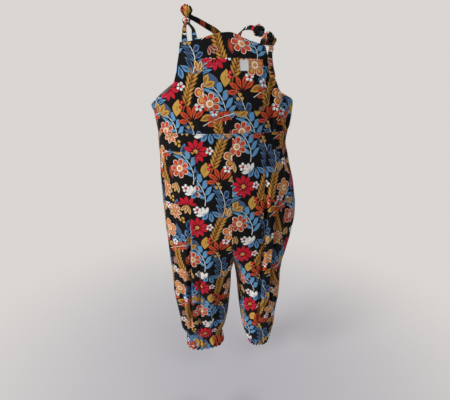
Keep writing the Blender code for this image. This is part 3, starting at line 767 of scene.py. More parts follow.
def stitchMask(tree, cut):
    # dashes along the sewn lines; lineRoom holds how far each point is from its side, top and bottom lines
    sideRoom, topRoom, lowRoom = splitNode(tree, attributeNode(tree, "lineRoom"))[:3]
    u, v = splitNode(tree, cut)[:2]
    levelRoom = mathNode(tree, "MINIMUM", mathNode(tree, "ABSOLUTE", topRoom), mathNode(tree, "ABSOLUTE", lowRoom))
    masks = []
    for room, along in ((mathNode(tree, "ABSOLUTE", sideRoom), v), (levelRoom, u)):
        line = mathNode(tree, "LESS_THAN", room, clothLook["stitchWidth"] / 2)
        dash = mathNode(tree, "FRACT", mathNode(tree, "DIVIDE", along, clothLook["stitchPitch"]))
        masks.append(mathNode(tree, "MULTIPLY", line, mathNode(tree, "LESS_THAN", dash, clothLook["stitchShare"])))
    return mathNode(tree, "MAXIMUM", *masks)


def mixColour(tree, factor, below, above):
    node = tree.nodes.new("ShaderNodeMix")
    node.data_type = "RGBA"
    for socket, value in ((node.inputs["Factor"], factor), (node.inputs[6], below), (node.inputs[7], above)):
        if isinstance(value, (int, float, tuple)):
            socket.default_value = value
        else:
            tree.links.new(value, socket)
    return node.outputs[2]


def noiseNode(tree, vector, scale, detail=2.0):
    node = tree.nodes.new("ShaderNodeTexNoise")
    node.inputs["Scale"].default_value = scale
    node.inputs["Detail"].default_value = detail
    tree.links.new(vector, node.inputs["Vector"])
    return node.outputs["Fac"]


def clothShader(name):
    # cotton with a little sheen; gives what a finish adds its colour to
    material, tree, shader = newMaterial(name)
    shader.inputs["Roughness"].default_value = clothLook["roughness"]
    shader.inputs["Sheen Weight"].default_value = clothLook["sheen"]
    shader.inputs["Sheen Roughness"].default_value = clothLook["sheenRoughness"]
    shader.inputs["Specular IOR Level"].default_value = clothLook["specular"]
    uv = tree.nodes.new("ShaderNodeUVMap")
    uv.uv_map = "cut"
    cut = uv.outputs["UV"]
    return material, tree, shader, cut


def clothBump(tree, shader, height, strength):
    node = tree.nodes.new("ShaderNodeBump")
    node.inputs["Strength"].default_value = strength
    node.inputs["Distance"].default_value = clothLook["bumpDepth"]
    tree.links.new(height, node.inputs["Height"])
    tree.links.new(node.outputs["Normal"], shader.inputs["Normal"])


def makeTwill():
    material, tree, shader, cut = clothShader("printedTwill")
    ribs = twillRibs(tree, cut)
    printed = tree.nodes.new("ShaderNodeGroup")
    printed.node_tree = meadowPrint
    tree.links.new(cut, printed.inputs["Cut"])
    fade = mathNode(tree, "MULTIPLY", noiseNode(tree, cut, 24.0), clothLook["fade"])
    colour = mixColour(tree, fade, printed.outputs["Ink"], (0.42, 0.41, 0.40, 1.0))
    # painted shade: the grooves between the twill's ribs are darkened towards black
    shade = mathNode(tree, "MULTIPLY", mathNode(tree, "SUBTRACT", 1.0, ribs), clothLook["weaveShade"])
    colour = mixColour(tree, shade, colour, (0.004, 0.004, 0.005, 1.0))
    stitches = stitchMask(tree, cut)
    colour = mixColour(tree, stitches, colour, (*clothLook["thread"], 1.0))
    tree.links.new(colour, shader.inputs["Base Color"])
    height = mathNode(tree, "MULTIPLY_ADD", stitches, 1.4, ribs)
    clothBump(tree, shader, height, clothLook["weaveBump"])
    return material


def makeReverse():
    # the unprinted side: pale greyish yarn through which the print shows as soft blotches
    material, tree, shader, cut = clothShader("twillReverse")
    ribs = twillRibs(tree, cut)
    blotches = rangeNode(tree, noiseNode(tree, cut, 30.0, 1.0), 0.40, 0.62, 1.0)
    colour = mixColour(tree, blotches, (0.33, 0.32, 0.31, 1.0), (0.56, 0.55, 0.54, 1.0))
    warm = rangeNode(tree, noiseNode(tree, cut, 17.0, 1.0), 0.52, 0.66, 0.6)
    colour = mixColour(tree, warm, colour, (0.52, 0.45, 0.40, 1.0))
    # painted highlight: the tops of the twill's ribs are lightened towards pale grey
    colour = mixColour(tree, mathNode(tree, "MULTIPLY", ribs, 0.10), colour, (0.72, 0.72, 0.72, 1.0))
    tree.links.new(colour, shader.inputs["Base Color"])
    clothBump(tree, shader, ribs, clothLook["weaveBump"])
    return material


labelRibs = 9000.0     # the label's cross ribs, in radians a metre


def makeLabelTape():
    # smooth white tape with fine cross ribs, sewn down along both ends; it carries no writing
    material, tree, shader, cut = clothShader("labelTape")
    shader.inputs["Roughness"].default_value = 0.6
    shader.inputs["Sheen Weight"].default_value = 0.15
    weft = mathNode(tree, "SINE", mathNode(tree, "MULTIPLY", splitNode(tree, cut)[1], labelRibs))
    weft = mathNode(tree, "MULTIPLY_ADD", weft, 0.5, 0.5)
    patchy = noiseNode(tree, cut, 160.0)
    colour = mixColour(tree, patchy, (0.70, 0.70, 0.69, 1.0), (0.80, 0.79, 0.77, 1.0))
    colour = mixColour(tree, mathNode(tree, "MULTIPLY", weft, 0.12), colour, (0.52, 0.52, 0.53, 1.0))
    stitches = stitchMask(tree, cut)
    colour = mixColour(tree, stitches, colour, (0.30, 0.30, 0.31, 1.0))
    tree.links.new(colour, shader.inputs["Base Color"])
    clothBump(tree, shader, mathNode(tree, "SUBTRACT", weft, stitches), 0.3)
    return material


printedTwill = makeTwill()
twillReverse = makeReverse()
labelTape = makeLabelTape()
print("stage: finishes made")


# cloth
def runLength(points, axis):
    # distance from the first point along each row (axis 1) or column (axis 0)
    pieces = np.linalg.norm(np.diff(points, axis=axis), axis=-1)
    start = np.zeros_like(pieces[:, :1] if axis else pieces[:1])
    return np.concatenate([start, np.cumsum(pieces, axis=axis)], axis=axis)


def evenRow(make, where, count):
    # spreads a row's columns evenly along the cloth; make gives points for the values of where
    lengths = runLength(make(where), 1)
    rows = [np.interp(np.linspace(0, length[-1], count + 1), length, value) for length, value in zip(lengths, where)]
    return np.array(rows)


def cutCoordinates(points, grain, shift):
    # metres along the cloth from a line on the grain, as it was cut and printed;
    # grain has a negative value left of that line and a positive one right of it
    across = runLength(points, 1)
    start = np.array([np.interp(0.0, side, length) for side, length in zip(grain, across)])
    line = np.stack([[np.interp(0.0, side, row[:, k]) for side, row in zip(grain, points)] for k in range(3)], axis=-1)
    down = np.concatenate([[0], np.cumsum(np.linalg.norm(np.diff(line, axis=0), axis=-1))])
    along = np.repeat(-down[:, None], points.shape[1], axis=1)
    return np.stack([across - start[:, None] + shift[0], along + shift[1]], axis=-1)


def layCloth(name, points, cut, finish, room=None, thickness=clothThickness):
    # a flat grid whose points are laid where the cloth goes
    rows, columns = points.shape[0] - 1, points.shape[1] - 1
    bm = bmesh.new()
    bmesh.ops.create_grid(bm, x_segments=columns, y_segments=rows, size=1.0)
    flat = np.array([vert.co[:] for vert in bm.verts])
    order = np.lexsort((np.round(flat[:, 0], 5), np.round(-flat[:, 1], 5)))
    places = points.reshape(-1, 3)
    cuts = cut.reshape(-1, 2)
    rank = np.empty(len(order), int)
    rank[order] = np.arange(len(order))
    for vert, index in zip(bm.verts, rank):
        vert.co = places[index]
    layer = bm.loops.layers.uv.new("cut")
    for face in bm.faces:
        for loop in face.loops:
            loop[layer].uv = cuts[rank[loop.vert.index]]
    if room is not None:
        attribute = bm.verts.layers.float_vector.new("lineRoom")
        rooms = room.reshape(-1, 3)
        for vert, index in zip(bm.verts, rank):
            vert[attribute] = Vector(rooms[index])
    mesh = meshFrom(bm, name)
    mesh.shade_smooth()
    for material in finish:
        mesh.materials.append(material)
    piece = addObject(name, mesh)
    wall = piece.modifiers.new("wall", "SOLIDIFY")
    wall.thickness, wall.offset, wall.use_even_offset = thickness, -1.0, False
    wall.material_offset = 1 if len(finish) > 1 else 0
    wall.material_offset_rim = 0
    return piece


def placePiece(piece, node):
    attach(piece, "root")
    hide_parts(node)


def sayCut(piece, cut):
    # the cut of what shows, all round where it is rolled into a tube
    width, length = np.ptp(cut.reshape(-1, 2), axis=0)
    first, second = cut[1:, 1:] - cut[:-1, :-1], cut[1:, :-1] - cut[:-1, 1:]
    area = 0.5 * np.abs(first[..., 0] * second[..., 1] - first[..., 1] * second[..., 0]).sum()
    area = min(float(area), float(width * length))
    print(f"stage: {piece.name} cut {width:.3f} x {length:.3f} m, {area:.4f} m2")


def edgeRoom(points):
    # distance of each point from the nearest side edge, from the top edge and from the bottom edge
    fromLeft, fromTop = runLength(points, 1), runLength(points, 0)
    fromRight = fromLeft[:, -1:] - fromLeft
    return np.stack([np.minimum(fromLeft, fromRight), fromTop, fromTop[-1:] - fromTop], axis=-1)


def insetEdges(points, gap):
    # half of the seam's gap on each edge
    points = points.copy()
    for edge, inside in ((points[:, 0], points[:, 1].copy()), (points[:, -1], points[:, -2].copy()),
                         (points[0], points[1].copy()), (points[-1], points[-2].copy())):
        pull = inside - edge
        edge += pull / np.linalg.norm(pull, axis=-1, keepdims=True) * gap
    return points


legValues = {
    "columns": {-1: 144, 1: 96},     # front panels, back panels
    "levels": (90, 61, 82, 45),      # heights down the body, the curve between the legs, the leg and the gathers
    "waves": 0.0022,          # slow unevenness of the hanging cloth
    "wrinkles": 0.0009,
    "seamDip": 0.0009,
    "gatherDepth": 0.0048,
    "gathers": 11,            # in one panel's hem
    "gatherRun": 0.080,       # height over which they grow
    "casingTop": -1.231,
    "stitchLines": (0.0062, 0.0055, 0.0195),     # how far in from the sides, the waist and the hem
}


def legHeights():
    body, curve, leg, hem = legValues["levels"]
    run = np.linspace(0, 1, curve)[1:]
    return np.concatenate([
        np.linspace(waistZ, frontRiseZ, body),
        frontRiseZ - (frontRiseZ - crotchZ) * (0.7 * np.sin(0.5 * np.pi * run) + 0.3 * run),
        np.linspace(crotchZ, gatherTopZ, leg)[1:],
        np.linspace(gatherTopZ, hemZ, hem)[1:],
    ])


def legLift(panel, step, x, z):
    # how far the cloth stands out from the smooth panel
    values = legValues
    seed = sum(map(ord, panel))
    u = 0.36 * step
    inside = softStep(np.minimum(step, 1 - step) / 0.07)
    belowWaist = softStep((waistZ - z) / 0.03)
    lift = -creaseDepth(panel, x, z) * np.sin(np.pi * step) ** 0.5
    lift += values["waves"] * clothNoise(u / 0.075 + 3, z / 0.26 + 9, seed) * inside * belowWaist
    small = clothNoise(u / 0.028 + 5, z / 0.10 + 20, seed + 1)
    small = small - 0.8 * np.abs(clothNoise(u / 0.02, z / 0.07 + 31, seed + 2))
    lift += values["wrinkles"] * small * inside * belowWaist
    # gathers over the elastic
    drop = np.clip((gatherTopZ - z) / values["gatherRun"], 0, 1)
    phase = 2 * np.pi * values["gathers"] * (step + 0.018 * clothNoise(step * 9, z * 0 + 2, seed + 3))
    heights = 0.65 + 0.35 * clothNoise(step * 14, z * 0 + 5, seed + 4)
    lift += values["gatherDepth"] * drop ** 1.6 * heights * np.sin(phase) * inside
    casing = softStep((values["casingTop"] - z) / 0.004)
    lift -= 0.0012 * np.exp(-((z - values["casingTop"]) / 0.0022) ** 2)
    lift += 0.0010 * casing * np.sin(2.0 * phase + 1.0) * inside
    return lift


def legCloth(panel, side, face, step, z, extra=0.0):
    base = legSurface(side, face, step, z)
    # eases the bend where the body meets the leg
    reach = 0.055 * np.exp(-((z - crotchZ) / 0.09) ** 2)
    shares = (-1.0, -0.75, -0.5, -0.25, 0.0, 0.25, 0.5, 0.75, 1.0)
    weights = [1 - 0.9 * abs(share) for share in shares]
    depths = [legSurface(side, face, step, z + reach * share)[..., 1] for share in shares]
    base[..., 1] = sum(weight * depth for weight, depth in zip(weights, depths)) / sum(weights)
    normal = gridNormals(base)
    lift = legLift(panel, step, base[..., 0], z) + extra
    return base + normal * lift[..., None]


def seamFall(room):
    # 1 on a seam, 0 a few millimetres away from it
    return np.exp(-(room / seamWidth) ** 2)


def legPanel(panel, side, face, shift):
    values = legValues
    heights = legHeights()
    dense, level = np.meshgrid(np.linspace(0, 1, 401), heights)
    step = evenRow(lambda value: legSurface(side, face, value, level), dense, values["columns"][face])
    if (side < 0) == (face < 0):
        step = step[:, ::-1]
    z = np.repeat(heights[:, None], step.shape[1], axis=1)
    points = legCloth(panel, side, face, step, z)
    room = edgeRoom(points)
    # the centre seam doesn't dip where it runs under the body, because the two legs' edges would part there
    rise = frontRiseZ if face < 0 else backRiseZ
    flat = softStep((rise - z) / 0.030) * softStep((z - crotchZ + 0.030) / 0.030) * (step < 0.5)
    dip = values["seamDip"] * ((1 - flat) * seamFall(room[..., 0]) + seamFall(room[..., 1]))
    points = insetEdges(points - gridNormals(points) * dip[..., None], seamGap / 2)
    grain = (step - 0.5) * (1 if step[0, -1] > 0.5 else -1)
    cut = cutCoordinates(points, grain, shift)
    lines = room - np.array(values["stitchLines"])
    piece = layCloth(panel + "_cloth", points, cut, (printedTwill, twillReverse), lines)
    placePiece(piece, panel)
    sayCut(piece, cut)


legPanel("leg_front_left", -1, -1, (0.050, 0.0))
legPanel("leg_front_right", 1, -1, (0.135, 0.118))
legPanel("leg_back_left", -1, 1, (0.120, 0.09))
legPanel("leg_back_right", 1, 1, (0.010, 0.09))
print("stage: trouser panels laid")

bibValues = {
    "columns": 180,
    "topRows": 22,            # between the front neckline and its corners
    "pitch": 0.0023,          # between the rows below
    "underarmRows": 14,
    "drawnIn": 0.10,          # least width over which columns give way to an armhole
    "neckRoom": -0.100,       # height down to which the rows follow the neckline
    "waves": 0.0016,
    "wrinkles": 0.0007,
    "seamDip": 0.0009,
    "armholeLine": 0.0115,    # how far in the topstitching is
    "sideLine": 0.0062,
    "neckLine": 0.0120,
}


def bibEdges(face, level):
    table = armholeFront if face < 0 else armholeBack
    centre, half = torsoSpan(level)
    above = level > underarmZ
    return (np.where(above, tableValue(table, level, 1), centre - half),
            np.where(above, tableValue(table, level, 2), centre + half))


def bibCloth(panel, face, x, z, extra=0.0):
    # the bib's surface at x and z, with its creases, pushed out by extra
    small = 0.0012
    y = torsoDepth(x, z, face)
    slopeX = (torsoDepth(x + small, z, face) - torsoDepth(x - small, z, face)) / (2 * small)
    slopeZ = (torsoDepth(x, z + small, face) - torsoDepth(x, z - small, face)) / (2 * small)
    normal = np.stack([-face * slopeX, face * np.ones_like(x), -face * slopeZ], axis=-1)
    normal /= np.linalg.norm(normal, axis=-1, keepdims=True)
    left, right = bibEdges(face, z)
    room = softStep(np.minimum(x - left, right - x) / 0.02) * softStep((z - waistZ) / 0.03)
    seed = sum(map(ord, panel))
    lift = -creaseDepth(panel, x, z) * softStep(np.minimum(x - left, right - x) / 0.030)
    lift += bibValues["waves"] * clothNoise(x / 0.06 + 9, z / 0.10 + 9, seed) * room
    lift += bibValues["wrinkles"] * clothNoise(x / 0.022 + 9, z / 0.045 + 9, seed + 1) * room
    return np.stack([x, y, z], axis=-1) + normal * (lift + extra)[..., None]


def bibLevels(top):
    # heights from the top to the waist, close together where the armhole runs into the side seam
    values = bibValues
    easy = underarmZ + 0.008
    body = np.linspace(top, easy, round((top - easy) / values["pitch"]) + 1)
    corner = underarmZ + (easy - underarmZ) * (1 - np.linspace(0, 1, values["underarmRows"] + 1)[1:]) ** 1.8
    low = np.linspace(underarmZ, waistZ, round((underarmZ - waistZ) / values["pitch"]) + 1)[1:]
    return np.concatenate([body, corner, low])


def bibColumns(make, where, underarm):
    # columns keep their distance from the middle of the bib, and are drawn in beside the armholes only
    lengths = runLength(make(where), 1)
    middles = [np.interp(0.0, value, length) for value, length in zip(where, lengths)]
    even = np.linspace(-middles[underarm], lengths[underarm][-1] - middles[underarm], bibValues["columns"] + 1)
    rows = []
    for length, value, middle in zip(lengths, where, middles):
        place = even + middle
        for edge, shift in ((even[0], -middle - even[0]), (even[-1], length[-1] - middle - even[-1])):
            reach = max(bibValues["drawnIn"], 3 * abs(shift))
            place = place + shift * np.clip(1 - np.abs(even - edge) / reach, 0, 1) ** 2
        place = (place - place[0]) / (place[-1] - place[0]) * length[-1]
        rows.append(np.interp(place, length, value))
    return np.array(rows)


def bibGrid(face):
    values = bibValues
    dense = 0.5 - 0.5 * np.cos(np.pi * np.linspace(0, 1, 401))[None, :]
    if face < 0:
        q = np.linspace(0, 1, values["topRows"] + 1)
        below = bibLevels(values["neckRoom"])[1:]
        level = np.concatenate([-0.056 - 0.044 * q, below])[:, None]
        neckShare = np.concatenate([1 - q, 0 * below])[:, None]
    else:
        level = bibLevels(necklineBackZ)[:, None]
        neckShare = np.zeros_like(level)
    left, right = bibEdges(face, level)

    def height(x):
        neck = curveThrough([p[0] for p in necklineFront], [p[1] for p in necklineFront], x)
        return neckShare * neck + (1 - neckShare) * np.where(neckShare > 0, values["neckRoom"], level)

    def row(x):
        return np.stack([x, torsoDepth(x, height(x), face), height(x)], axis=-1)

    x = bibColumns(row, left + (right - left) * dense, int(np.argmin(np.abs(level - underarmZ))))
    z = height(x)
    return (x, z) if face < 0 else (x[:, ::-1], z[:, ::-1])


def bibPanel(panel, face, shift):
    x, z = bibGrid(face)
    points = bibCloth(panel, face, x, z)
    room = edgeRoom(points)
    dip = seamFall(room[..., 0]) * softStep((underarmZ - z) / 0.010) + seamFall(room[..., 2])
    dip = bibValues["seamDip"] * dip
    points = insetEdges(points - gridNormals(points) * dip[..., None], seamGap / 2)
    cut = cutCoordinates(points, -face * x, shift)
    low = softStep((z - underarmZ) / 0.012)
    side = bibValues["sideLine"] + (bibValues["armholeLine"] - bibValues["sideLine"]) * low
    lines = room - np.stack([side, 0 * z + bibValues["neckLine"], 0 * z - 1.0], axis=-1)
    piece = layCloth(panel + "_cloth", points, cut, (printedTwill, twillReverse), lines)
    placePiece(piece, panel)
    sayCut(piece, cut)


bibPanel("bib_front", -1, (0.0, 0.10))
bibPanel("bib_back", 1, (0.15, 0.02))
print("stage: bibs laid")

pocketValues = {
    "clear": 0.0003,
    "puff": 0.0014,
    "mouthGape": 0.0022,
    "chest": (-0.087, -0.100, -0.246),           # left edge, top, bottom
    "hip": (-0.373, -0.553),                     # top, bottom
    "stitchLines": (0.0028, 0.0180, 0.0028),     # how far in from the sides, the mouth and the bottom
}


def chestRight(z):
    # the chest pocket's right edge follows the armhole
    return curveThrough([-0.24, -0.168, -0.100, -0.056], [0.104, 0.102, 0.094, 0.070], z)


def pocketLift(s, t):
    # stands on its panel, held down along three sides and loose at the mouth
    values = pocketValues
    held = np.minimum(np.minimum(s, 1 - s) / 0.10, (1 - t) / 0.12)
    puff = values["puff"] * softStep(held)
    gape = values["mouthGape"] * np.sin(np.pi * s) ** 0.8 * np.exp(-t / 0.10)
    return values["clear"] + clothThickness + 0.0002 + puff + gape


def pocketPiece(name, points, shift):
    room = edgeRoom(points)
    grain = np.repeat(np.linspace(-1, 1, points.shape[1])[None, :], len(points), axis=0)
    cut = cutCoordinates(points, grain, shift)
    lines = room - np.array(pocketValues["stitchLines"])
    piece = layCloth(name + "_cloth", points, cut, (printedTwill, twillReverse), lines, clothThickness * 0.9)
    placePiece(piece, name)
    sayCut(piece, cut)


def chestPocket():
    left, top, low = pocketValues["chest"]
    s, t = np.meshgrid(np.linspace(0, 1, 65), np.linspace(0, 1, 53))
    z = top + (low - top) * t
    x = left + (chestRight(z) - left) * s
    points = bibCloth("bib_front", -1, x, z, pocketLift(s, t))
    pocketPiece("chest_pocket", points, (0.110, 0.205))


def hipPocket(name, side, stepIn, stepOut, shift):
    # stepIn and stepOut are its edges as shares of the panel from the inner seam
    panel = "leg_front_" + name
    s, t = np.meshgrid(np.linspace(0, 1, 81), np.linspace(0, 1, 61))
    first, last = (stepOut, stepIn) if side < 0 else (stepIn, stepOut)
    step = first + (last - first) * s
    top, low = pocketValues["hip"]
    z = top + (low - top) * t
    points = legCloth(panel, side, -1, step, z, pocketLift(s, t))
    pocketPiece("hip_pocket_" + name, points, shift)


chestPocket()
hipPocket("left", -1, 9 / 18, 15 / 18, (0.020, 0.130))
hipPocket("right", 1, 9 / 18, 14 / 18, (0.160, 0.060))
print("stage: pockets laid")

# name, start width, end width, the x and face where it is sewn to a bib or none, the knot that it comes out of,
# the print at its start, and the route of its middle as x, y, z and the turn of its flat side in degrees
tieBands = [
    ("strap_front_left", 0.0165, 0.0085, (-0.1360, -1), "knot_left", (0.120, 0.240), [
        (-0.1355, -0.0960, -0.0350, 0), (-0.1350, -0.0840, -0.0230, 0), (-0.1345, -0.0700, -0.0110, 0),
    ]),
    ("strap_back_left", 0.0225, 0.0145, (0.0065, 1), "loop_left", (0.152, 0.262), [
        (0.0035, 0.1080, -0.0015, 10), (-0.0070, 0.0990, 0.0075, 26), (-0.0250, 0.0830, 0.0150, 44),
        (-0.0430, 0.0640, 0.0190, 56), (-0.0590, 0.0450, 0.0218, 64), (-0.0740, 0.0270, 0.0248, 66),
        (-0.0880, 0.0130, 0.0282, 66), (-0.1020, 0.0050, 0.0320, 66), (-0.1130, 0.0015, 0.0350, 66),
    ]),
    ("strap_back_right", 0.0190, 0.0140, (0.0640, 1), "knot_right", (0.040, 0.100), [
        (0.0650, 0.1065, -0.0010, 10), (0.0670, 0.0960, 0.0075, 22), (0.0700, 0.0800, 0.0145, 38),
        (0.0745, 0.0620, 0.0180, 50), (0.0800, 0.0430, 0.0180, 58), (0.0855, 0.0240, 0.0160, 62),
        (0.0905, 0.0060, 0.0120, 66),
    ]),
    ("strap_front_right", 0.0160, 0.0105, (0.0950, -1), "loop_right", (0.150, 0.120), [
        (0.1010, -0.1020, -0.0420, 6), (0.1060, -0.0880, -0.0365, 10),
    ]),
    ("tail_left", 0.0180, 0.0080, None, "knot_left", (0.118, 0.098), [
        (-0.1052, -0.1085, -0.0495, 0), (-0.1062, -0.0960, -0.0390, 4), (-0.1068, -0.0780, -0.0265, 6),
        (-0.1062, -0.0620, -0.0110, 4),
    ]),
    ("tail_right", 0.0190, 0.0130, None, "loop_right", (0.215, 0.100), [
        (0.1275, -0.1350, -0.1500, 4), (0.1230, -0.1345, -0.1340, 8), (0.1190, -0.1330, -0.1150, 10),
        (0.1170, -0.1300, -0.0960, 12), (0.1185, -0.1230, -0.0800, 14), (0.1250, -0.1080, -0.0700, 10),
        (0.1310, -0.0960, -0.0640, 6),
    ]),
]

# name, centre, radii, tilt in degrees about y, taper of the lower half, the print at its front, and its folds: each
# a valley on the plane with the given normal and offset, with its depth as a share of the radius and its width
tieKnots = [
    ("knot_left", (-0.1255, -0.0330, 0.0150), (0.0125, 0.0120, 0.0100), 0, 0.0, (0.152, 0.152), [
        (0.35, 0.10, 1.0, 0.30, 0.16, 0.10), (0.30, -0.2, 1.0, -0.35, 0.16, 0.10), (1.0, 0.2, -0.5, 0.2, 0.08, 0.09),
    ]),
    ("loop_left", (-0.1240, -0.0265, 0.0424), (0.0190, 0.0125, 0.0190), 0, 0.56, (0.081, 0.150), [
        (1.0, 0.1, 0.10, 0.50, 0.17, 0.10), (1.0, -0.2, -0.12, -0.52, 0.15, 0.10), (1.0, 0.2, 0.12, 0.04, 0.10, 0.09),
        (0.1, 1.0, 0.1, 0.05, 0.18, 0.12),
    ]),
    ("knot_right", (0.1025, -0.0440, -0.0070), (0.0185, 0.0170, 0.0175), 20, 0.0, (0.161, 0.080), [
        (0.6, 0.1, 1.0, 0.25, 0.18, 0.10), (1.0, 0.2, -0.4, -0.30, 0.16, 0.09), (0.8, -0.3, 0.6, -0.45, 0.14, 0.09),
        (-0.3, 0.2, 1.0, -0.1, 0.10, 0.07), (1.0, 0.4, 0.1, 0.45, 0.12, 0.08),
    ]),
    ("loop_right", (0.1342, -0.0532, -0.0322), (0.0245, 0.0190, 0.0195), 35, 0.0, (0.240, 0.085), [
        (1.0, 0.1, 0.3, 0.30, 0.17, 0.09), (0.8, 0.1, -0.6, -0.20, 0.18, 0.10), (0.2, 0.3, 1.0, 0.35, 0.12, 0.08),
        (1.0, -0.3, 0.9, -0.40, 0.14, 0.08), (0.2, -0.1, 1.0, -0.35, 0.10, 0.06),
    ]),
]
tieValues = {
    "thickness": 0.0030,
    "around": 28,             # points round a tie
    "perMillimetre": 0.5,     # rows along it
    "straight": 0.0095,       # length that leaves a seam or a knot in a straight line
    "smoothing": 40,
    "knotAround": 72,
    "knotRows": 44,
    "stitchLine": 0.0018,
}


def lump(x, y, z):
    # how uneven a knot is, the same as in its solid
    return 1.0 + 0.06 * np.sin(4.0 * x + 1.0) * np.cos(3.0 * z) + 0.04 * np.sin(5.0 * y + 2.0 * z)


def knotSurface(name, ray):
    row = next(row for row in tieKnots if row[0] == name)
    ray = ray.normalized()
    local = Matrix.Rotation(math.radians(-row[3]), 3, "Y") @ ray
    reach = 1.0 / math.sqrt(sum((local[k] / row[2][k]) ** 2 for k in range(3)))
    x, y, z = (local[k] * reach / row[2][k] for k in range(3))
    return Vector(row[1]) + ray * reach * float(lump(x, y, z))


def sewnStart(x, face):
    # where a strap meets the bib's top edge, and the way that it leaves it
    if face < 0:
        xs, heights = [p[0] for p in necklineFront], [p[1] for p in necklineFront]
        z = float(np.interp(x, xs, heights))
        slope = float(np.interp(x + 0.008, xs, heights) - np.interp(x - 0.008, xs, heights)) / 0.016
    else:
        z, slope = necklineBackZ, 0.0
    up = Vector((-slope, 0.0, 1.0)).normalized()
    y = float(torsoDepth(np.array([x]), np.array([z]), face)[0]) - face * clothThickness / 2
    return Vector((x, y, z)) + up * seamGap, up


def closeCloth(name, points, cut, finish, capped, lines):
    # a grid rolled into a tube: its first and last columns meet, its ends are filled or drawn to a point
    piece = layCloth(name, points, cut, finish, lines)
    piece.modifiers.clear()
    bm = bmesh.new()
    bm.from_mesh(piece.data)
    bmesh.ops.remove_doubles(bm, verts=bm.verts, dist=0.00001)
    if capped:
        bmesh.ops.holes_fill(bm, edges=[edge for edge in bm.edges if edge.is_boundary], sides=0)
    bmesh.ops.recalc_face_normals(bm, faces=bm.faces)
    bm.to_mesh(piece.data)
    bm.free()
    return piece


def flattened(wave, power):
    return np.sign(wave) * np.abs(wave) ** power


def tieRoute(sewn, heldBy, middle):
    # smoothed places and turns from the seam or loose end to the knot, and the length up to each
    values = tieValues
    route = [list(row) for row in middle]
    if sewn:
        start, up = sewnStart(*sewn)
        route = [[*start, 0.0], [*(start + up * values["straight"]), 0.0]] + route
    centre = Vector(next(row[1] for row in tieKnots if row[0] == heldBy))
    ray = Vector(route[-1][:3]) - centre
    tip = knotSurface(heldBy, ray) + ray.normalized() * seamGap
    route += [[*(tip + ray.normalized() * values["straight"]), route[-1][3]], [*tip, route[-1][3]]]
    route = np.array(route, float)
    spans = np.concatenate([[0], np.cumsum(np.linalg.norm(np.diff(route[:, :3], axis=0), axis=1))])
    where = np.linspace(0, spans[-1], int(spans[-1] * 1000 * values["perMillimetre"]) + 1)
    path = np.stack([np.interp(where, spans, route[:, k]) for k in range(4)], axis=1)
    for _ in range(values["smoothing"]):
        path[2:-2] = 0.25 * path[1:-3] + 0.5 * path[2:-2] + 0.25 * path[3:-1]
    return path, where


def tieBand(name, startWidth, endWidth, sewn, heldBy, shift, middle):
    values = tieValues
    path, where = tieRoute(sewn, heldBy, middle)
    count = len(where) - 1
    angles = np.linspace(0, 2 * np.pi, values["around"] + 1)
    across = flattened(np.cos(angles), 0.5) / 2
    points = np.zeros((count + 1, len(angles), 3))
    cut = np.zeros((count + 1, len(angles), 2))
    lines = np.ones(points.shape)
    seed = sum(map(ord, name))
    for i in range(count + 1):
        tangent = Vector(path[min(i + 1, count), :3] - path[max(i - 1, 0), :3]).normalized()
        side = Vector((1, 0, 0)) - tangent * tangent.x
        side.normalize()
        side = Matrix.Rotation(math.radians(path[i, 3]), 3, tangent) @ side
        out = side.cross(tangent)
        run = i / count
        width = startWidth + (endWidth - startWidth) * run
        uneven = float(clothNoise(np.array(where[i] / 0.014 + 3), np.array(2.5), seed))
        width *= 1 + 0.05 * uneven
        # flat with a soft fold along its middle, and rounder where it is pulled into the knot
        pulled = softStep((run - 0.75) / 0.25)
        bulge = 0.75 + 0.5 * pulled - 0.25 * (1 - pulled) * np.exp(-((across - 0.08 * uneven) / 0.12) ** 2)
        wrinkle = 0.00035 * clothNoise(across * 7 + 20, where[i] / 0.012 + 0 * across + 7, seed + 1)
        depth = flattened(np.sin(angles), 0.8) * values["thickness"] / 2 * bulge + wrinkle * np.sin(angles)
        points[i] = path[i, :3] + np.outer(across * width, np.array(side)) + np.outer(depth, np.array(out))
        cut[i, :, 0] = shift[0] + (angles / np.pi - 1.5) * width
        cut[i, :, 1] = shift[1] - where[i]
        lines[i, :, 0] = (0.5 - np.abs(across)) * width - values["stitchLine"]
    piece = closeCloth(name + "_cloth", points, cut, (printedTwill,), True, lines)
    placePiece(piece, name)
    tieCuts[name] = cut
    return piece


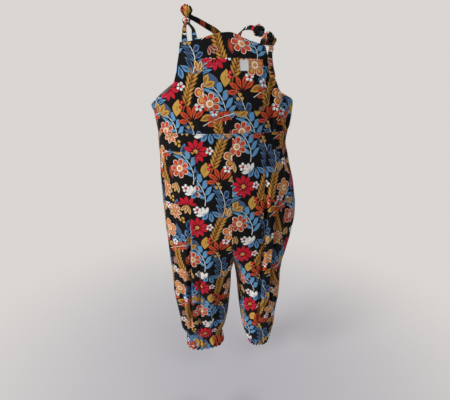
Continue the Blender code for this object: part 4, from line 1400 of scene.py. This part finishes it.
def tieKnot(name, centre, radii, tilt, taper, shift, folds):
    values = tieValues
    polar, around = np.meshgrid(np.linspace(0, np.pi, values["knotRows"] + 1),
                                np.linspace(0, 2 * np.pi, values["knotAround"] + 1), indexing="ij")
    unit = np.stack([np.sin(polar) * np.cos(around), -np.sin(polar) * np.sin(around), np.cos(polar)], axis=-1)
    x, y, z = unit[..., 0], unit[..., 1], unit[..., 2]
    seed = sum(map(ord, name))
    reach = lump(x, y, z)
    wave = 0.10 * clothNoise(x * 2.2 + 9, z * 2.2 + 9, seed)
    for nx, ny, nz, offset, depth, width in folds:
        length = math.sqrt(nx * nx + ny * ny + nz * nz)
        away = (nx * x + ny * y + nz * z) / length - offset + wave
        reach = reach - depth * np.exp(-(away / (1.15 * width)) ** 2)
        reach = reach + 0.22 * depth * np.exp(-((np.abs(away) - 2.6 * width) / (1.4 * width)) ** 2)
    reach = reach + 0.02 * clothNoise(x * 3 + 20, y * 3 + z * 2.5 + 20, seed + 1)
    narrow = 1 - taper * softStep((0.25 - z) / 1.25)
    local = np.stack([x * radii[0] * narrow, y * radii[1] * narrow, z * radii[2]], axis=-1) * reach[..., None]
    turn = np.array(Matrix.Rotation(math.radians(tilt), 3, "Y"))
    points = local @ turn.T + np.array(centre)
    points[:, -1] = points[:, 0]
    # the print is laid on as if the knot were smooth and a tenth larger
    across, along = (around - np.pi / 2) * radii[0] * 1.1, (np.pi / 2 - polar) * radii[2] * 1.1
    cut = np.stack([shift[0] + across, shift[1] + along], axis=-1)
    piece = closeCloth(name + "_cloth", points, cut, (printedTwill,), False, np.ones(points.shape))
    placePiece(piece, name)
    return piece


tieCuts = {}
tiePieces = {row[0]: tieBand(*row) for row in tieBands}
tiePieces.update({row[0]: tieKnot(*row) for row in tieKnots})
for name, held, restsOn, knots in (
    ("strap_front_left", "stretched", "knot_left_cloth", ("knot_left",)),
    ("strap_back_left", "stretched", "loop_left_cloth", ("loop_left",)),
    ("strap_front_right", "stretched", "loop_right_cloth", ("loop_right",)),
    ("strap_back_right", "stretched", "knot_right_cloth", ("knot_right",)),
    ("tail_left", "hung", "knot_left_cloth", ()),
    ("tail_right", "hung", "loop_right_cloth", ()),
):
    # a flat tube counts as one layer as wide as it lies
    sayCut(tiePieces[name], tieCuts[name] * (0.5, 1.0))
print("stage: ties made")

labelValues = {
    "width": 0.0265,
    "height": 0.0305,
    "thickness": 0.0007,
    "centreX": 0.0352,
    "centreZ": -0.1188,
    "turn": -2.0,
    "clear": 0.0011,          # above the pocket
    "curl": 0.0006,
}


def labelPiece():
    values = labelValues
    left, top, low = pocketValues["chest"]
    a, b = np.meshgrid(np.linspace(-0.5, 0.5, 25), np.linspace(-0.5, 0.5, 29))
    angle = math.radians(values["turn"])
    x = values["centreX"] + a * values["width"] * math.cos(angle) - b * values["height"] * math.sin(angle)
    z = values["centreZ"] - b * values["height"] * math.cos(angle) - a * values["width"] * math.sin(angle)
    lift = pocketLift((x - left) / (chestRight(z) - left), np.maximum(0, (z - top) / (low - top)))
    lift = lift + values["clear"] + values["curl"] * (2 * np.abs(a)) ** 4
    points = bibCloth("bib_front", -1, x, z, lift)
    cut = np.stack([a * values["width"], -b * values["height"]], axis=-1)
    lines = edgeRoom(points) - np.array((0.0016, -1.0, -1.0))
    piece = layCloth("label_cloth", points, cut, (labelTape,), lines, values["thickness"])
    placePiece(piece, "label")
    sayCut(piece, cut)


labelPiece()
print("stage: label made")
